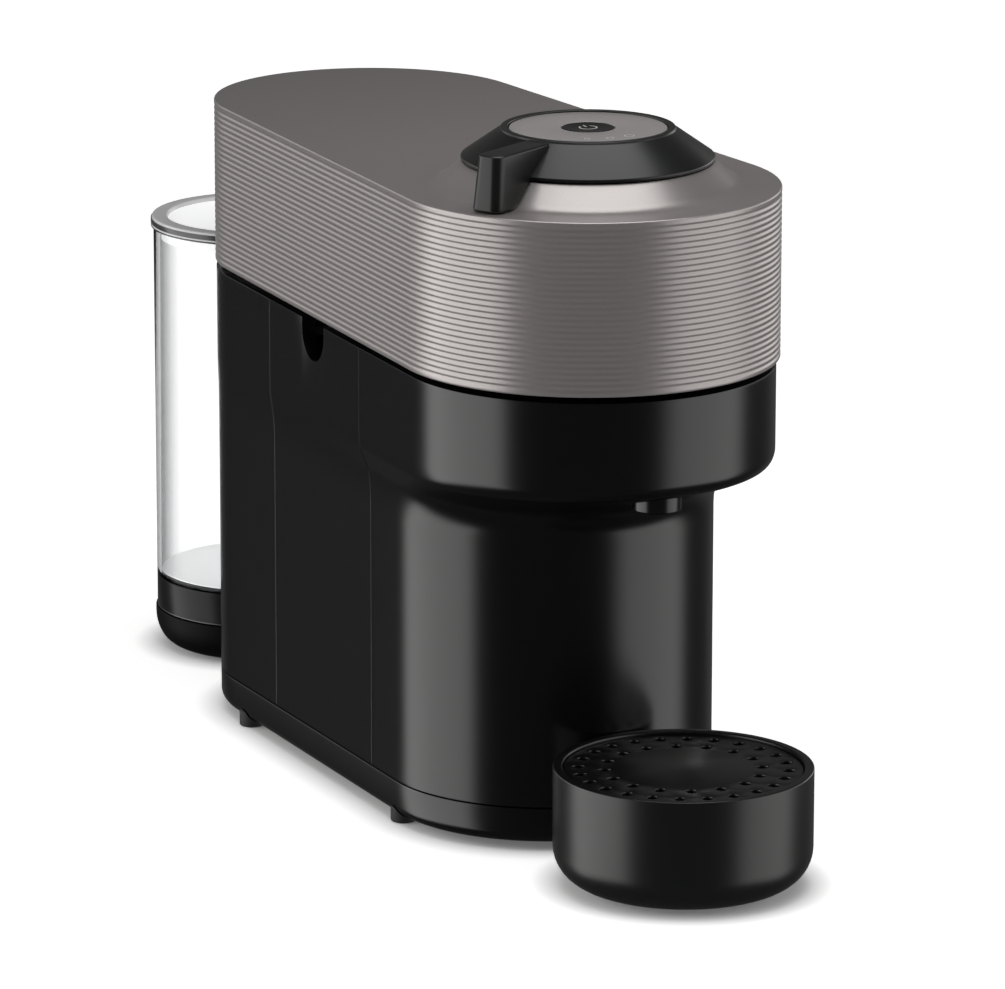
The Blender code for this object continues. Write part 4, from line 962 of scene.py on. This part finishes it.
# ---------------------------------------------------------------- brew unit and button spring
def make_brew_unit():
    """The turning bowl, and the bell and seal that close on it."""
    foot, rim = span("capsule_holder")[0].z, span("capsule_holder")[1].z
    middle = rim - FLANGE  # the ball's centre, at the flange's underside
    bowl = [(0.0, middle - 0.0318)]
    for step in range(29):
        angle = math.radians(-84 + 3 * step)
        bowl.append((BOWL_IN_R * math.cos(angle), middle + BOWL_IN_R * math.sin(angle)))
    lip = [(0.0325, rim, 0.0006), (BOWL_FLANGE_R, rim, 0.0005), (BOWL_FLANGE_R, rim - FLANGE, 0)]
    bowl += rounded([bowl[-1] + (0,), *lip])
    for step in range(26):
        angle = math.radians(-3 * step)
        bowl.append((BOWL_OUT_R * math.cos(angle), middle + BOWL_OUT_R * math.sin(angle)))
    bowl += [(0.0082, foot), (0.0, foot)]
    add_piece("bowl", turned(bowl, BREW_Y, steps=160), "holder", "steel", ["capsule_holder"])

    low, flange = span("brew_bell")[0].z, span("brew_bell")[1].z
    roof, ledge = low + BELL_ROOF, flange - FLANGE
    profile = rounded(
        [
            (BELL_BORE_R, flange, 0),
            (BELL_BORE_R, roof, 0.0004),
            (BELL_IN_R - 0.0005, roof, 0.0020),
            (BELL_IN_R, low, 0.0003),
            (BELL_OUT_R, low, 0.0006),
            (BELL_OUT_R, ledge, 0),
            (BELL_FLANGE_R, ledge, 0.0004),
            (BELL_FLANGE_R, flange, 0.0004),
        ],
        5,
        closed=True,
    )
    bell = turned(profile, BREW_Y, steps=ROUND_STEPS)
    add_piece("bell", bell, "head", "inner_dark", ["brew_bell"])
    low, high = span("seal_ring")[0].z, span("seal_ring")[1].z
    profile = [(BELL_IN_R, high, 0), (BELL_IN_R, low, 0.0007)]
    profile += [(0.0358, low, 0.0007), (0.0358, high, 0)]
    seal = turned(rounded(profile), BREW_Y, steps=ROUND_STEPS)
    add_piece("seal", seal, "head", "rubber_black", ["seal_ring"])


def make_spring():
    """The button's return spring, as a coil that stays at its full height."""
    low, high = span("button_spring")[0].z, span("button_spring")[1].z
    count = SPRING_TURNS * SPRING_STEPS
    rings = []
    for step in range(count + 1):
        share = step / count
        angle = math.tau * SPRING_TURNS * share
        out = Vector((math.cos(angle), math.sin(angle), 0.0))
        z = low + SPRING_WIRE_R + (high - low - 2 * SPRING_WIRE_R) * share
        middle = Vector((0.0, BREW_Y, z)) + out * SPRING_R
        ring = []
        for corner in range(10):
            turn = math.tau * corner / 10
            rise = Vector((0, 0, SPRING_WIRE_R * math.sin(turn)))
            ring.append(middle + out * (SPRING_WIRE_R * math.cos(turn)) + rise)
        rings.append(ring)
    spring = add_piece("spring", loft(rings), "head", "steel", ["button_spring"])
    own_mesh(spring)


# ---------------------------------------------------------------- cup stand
def make_stand():
    """The round drip tray with its inset grid."""
    profile = rounded(
        [
            (0.0, STAND_BOTTOM, 0),
            (STAND_R, STAND_BOTTOM, STAND_EDGE),
            (STAND_R, STAND_TOP, 0.0006),
            (GRID_R + GAP, STAND_TOP, 0.0008),
            (GRID_R + GAP, GRID_LOW - GAP, 0),
            (TRAY_R, GRID_LOW - GAP, 0),
            (TRAY_R, TRAY_FLOOR, 0.008),
            (0.0, TRAY_FLOOR, 0),
        ],
        10,
    )
    bm = turned(profile, STAND_Y, steps=160)
    tongue_low = (-TONGUE_X, STAND_Y, STAND_BOTTOM + 0.0004)
    join_meshes(bm, block(tongue_low, (TONGUE_X, TONGUE_END, TONGUE_TOP)))
    add_piece("stand", bm, "stand", "stand_charcoal", ["cup_stand"])

    bm = bmesh.new()
    rim = ring_verts(bm, circle(GRID_R, STAND_Y, GRID_HIGH, 160))
    holes = []
    for radius, count in SLOT_RINGS:
        for index in range(count):
            turn = math.tau * index / count
            hole = []
            for step in range(20):
                angle = math.tau * step / 20
                across = radius + SLOT_LENGTH / 2 * math.cos(angle)
                along = SLOT_WIDTH / 2 * math.sin(angle)
                x = across * math.cos(turn) - along * math.sin(turn)
                y = across * math.sin(turn) + along * math.cos(turn)
                hole.append((x, STAND_Y + y, GRID_HIGH))
            holes.append(ring_verts(bm, hole))
    fill_between(bm, rim, *holes)
    base = list(bm.faces)
    extruded = bmesh.ops.extrude_face_region(bm, geom=base)
    low = [item for item in extruded["geom"] if isinstance(item, bmesh.types.BMVert)]
    bmesh.ops.translate(bm, verts=low, vec=(0, 0, GRID_LOW - GRID_HIGH))
    grid = add_piece("grid", bm, "grid", "stand_charcoal", ["drip_grid"])
    soften(grid, 0.0003, 2, 60)


# ---------------------------------------------------------------- water tank
def add_ring(name, profile, body, slot, replaces=()):
    """A piece turned about the tank's axis."""
    add_piece(name, turned(profile, TANK_Y, steps=ROUND_STEPS), body, slot, replaces)


def make_tank():
    """The clear tank, with its pale floor and the dark skirt that stands round the dock's plug."""
    profile = rounded(
        [
            (TANK_R, LID_LOW - GAP, 0.0005),
            (TANK_R, TANK_FLOOR, 0.0001),
            (TANK_IN_R, TANK_FLOOR, 0.0001),
            (TANK_IN_R, LID_LOW - GAP, 0.0005),
        ],
        5,
        closed=True,
    )
    add_ring("tank", profile, "tank", "tank_clear", ["water_tank"])
    floor_r, top = TANK_IN_R - 0.0002, TANK_FLOOR + TANK_WALL
    for name, low, high, slot in (
        ("tank_floor", top - TANK_TINT, top, "tank_pale"),
        ("tank_floor_under", TANK_FLOOR, top - TANK_TINT, "lid_smoke"),
    ):
        profile = [(VALVE_BORE_R, low), (floor_r, low), (floor_r, high), (VALVE_BORE_R, high)]
        add_ring(name, profile, "tank", slot)
    profile = rounded(
        [
            (TANK_R, TANK_FLOOR, 0.0001),
            (TANK_R, TANK_BOTTOM, 0.0004),
            (TANK_IN_R, TANK_BOTTOM, 0.0004),
            (TANK_IN_R, TANK_FLOOR, 0.0001),
        ],
        4,
        closed=True,
    )
    add_ring("tank_skirt", profile, "tank", "skirt_smoke")
    low, high = TANK_BOTTOM, TANK_BOTTOM + FOOT_LINE
    near, reach = TANK_R - 0.0008, TANK_R + 0.00005
    profile = [(near, low), (reach, low), (reach, high), (near, high)]
    add_ring("tank_foot_line", profile, "tank", "foot_line")


def make_lid():
    """The lid's frosted rim, its edge in three bands, its skirt in the tank and its pale middle."""
    profile = rounded(
        [
            (LID_INNER_R, LID_LOW + 0.0002, 0),
            (LID_INNER_R, LID_HIGH - 0.0012, 0.0002),
            (LID_INNER_R + 0.0008, LID_HIGH, 0.0006),
            (LID_R - 0.0004, LID_HIGH, 0.0007),
            (LID_R - 0.0004, LID_LOW + 0.0002, 0.0002),
        ],
        5,
    )
    add_ring("lid_rim", profile, "lid", "lid_frost", ["tank_lid"])
    inner = LID_R - 0.0012
    for name, low, high, slot in (
        ("lid_edge_low", LID_LOW, LID_LOW + 0.0006, "lid_smoke"),
        ("lid_edge_mid", LID_LOW + 0.0006, LID_LOW + 0.0012, "lid_frost"),
        ("lid_edge_high", LID_LOW + 0.0012, LID_HIGH - 0.0010, "lid_smoke"),
    ):
        corners = [(inner, low, 0), (LID_R, low, 0.0001), (LID_R, high, 0.0001), (inner, high, 0)]
        add_ring(name, rounded(corners, 3), "lid", slot)
    skirt, low = TANK_IN_R - 0.0006, LID_LOW - LID_SKIRT
    profile = [(skirt - 0.0016, low), (skirt, low), (skirt, LID_LOW), (skirt - 0.0016, LID_LOW)]
    add_ring("lid_skirt", profile, "lid", "tank_pale")
    low, high = LID_LOW + 0.0008, LID_HIGH - 0.0014
    profile = [(0.0, low), (LID_INNER_R, low), (LID_INNER_R, high), (0.0, high)]
    add_ring("lid_plate", profile, "lid", "tank_pale")


def make_dock():
    """The dark dock with the plug that the tank stands on, and its neck to the body."""
    plug_r = TANK_IN_R - 0.0008
    profile = rounded(
        [
            (DOCK_BORE_R, DOCK_BORE_LOW, 0),
            (DOCK_BORE_R, DOCK_TOP, 0.0004),
            (plug_r, DOCK_TOP, 0.0010),
            (plug_r, DOCK_SHELF, 0),
            (DOCK_R, DOCK_SHELF, 0.0004),
            (DOCK_R, DOCK_BOTTOM + DOCK_EDGE_UP, 0),
        ],
        8,
    )
    for angle in quarter_turn(14)[1:]:
        across, up = DOCK_EDGE_IN * (1 - math.cos(angle)), DOCK_EDGE_UP * (1 - math.sin(angle))
        profile.append((DOCK_R - across, DOCK_BOTTOM + up))
    profile += [(DOCK_PAD_R, DOCK_BOTTOM), (DOCK_PAD_R, DOCK_PAD_LOW), (0.0, DOCK_PAD_LOW)]
    dock = turned([(0.0, DOCK_BORE_LOW), *profile], TANK_Y, steps=ROUND_STEPS)
    neck_end = TANK_Y - DOCK_R - 0.0120
    neck = block((-NECK_X, neck_end, NECK_LOW), (NECK_X, TANK_Y - 0.03, NECK_HIGH))
    join_meshes(dock, neck)
    add_piece("dock", dock, "housing", "dock_black", ["tank_base"])


# ---------------------------------------------------------------- carried-over parts
def dress_nodes():
    """The record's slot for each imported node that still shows, in this scene's materials."""
    for entry in frame["record"]["subparts"]:
        node = frame["nodes"][entry["node"]]
        for index in range(len(node.material_slots)):
            node.material_slots[index].material = MATERIALS[entry["material_slot"]]


def main():
    aim_camera()
    light_studio()
    lay_floor()
    make_hood()
    make_lever()
    make_disc()
    make_body()
    make_base()
    make_feet()
    make_outlet()
    make_brew_unit()
    make_spring()
    make_stand()
    make_tank()
    make_lid()
    make_dock()
    dress_nodes()


main()
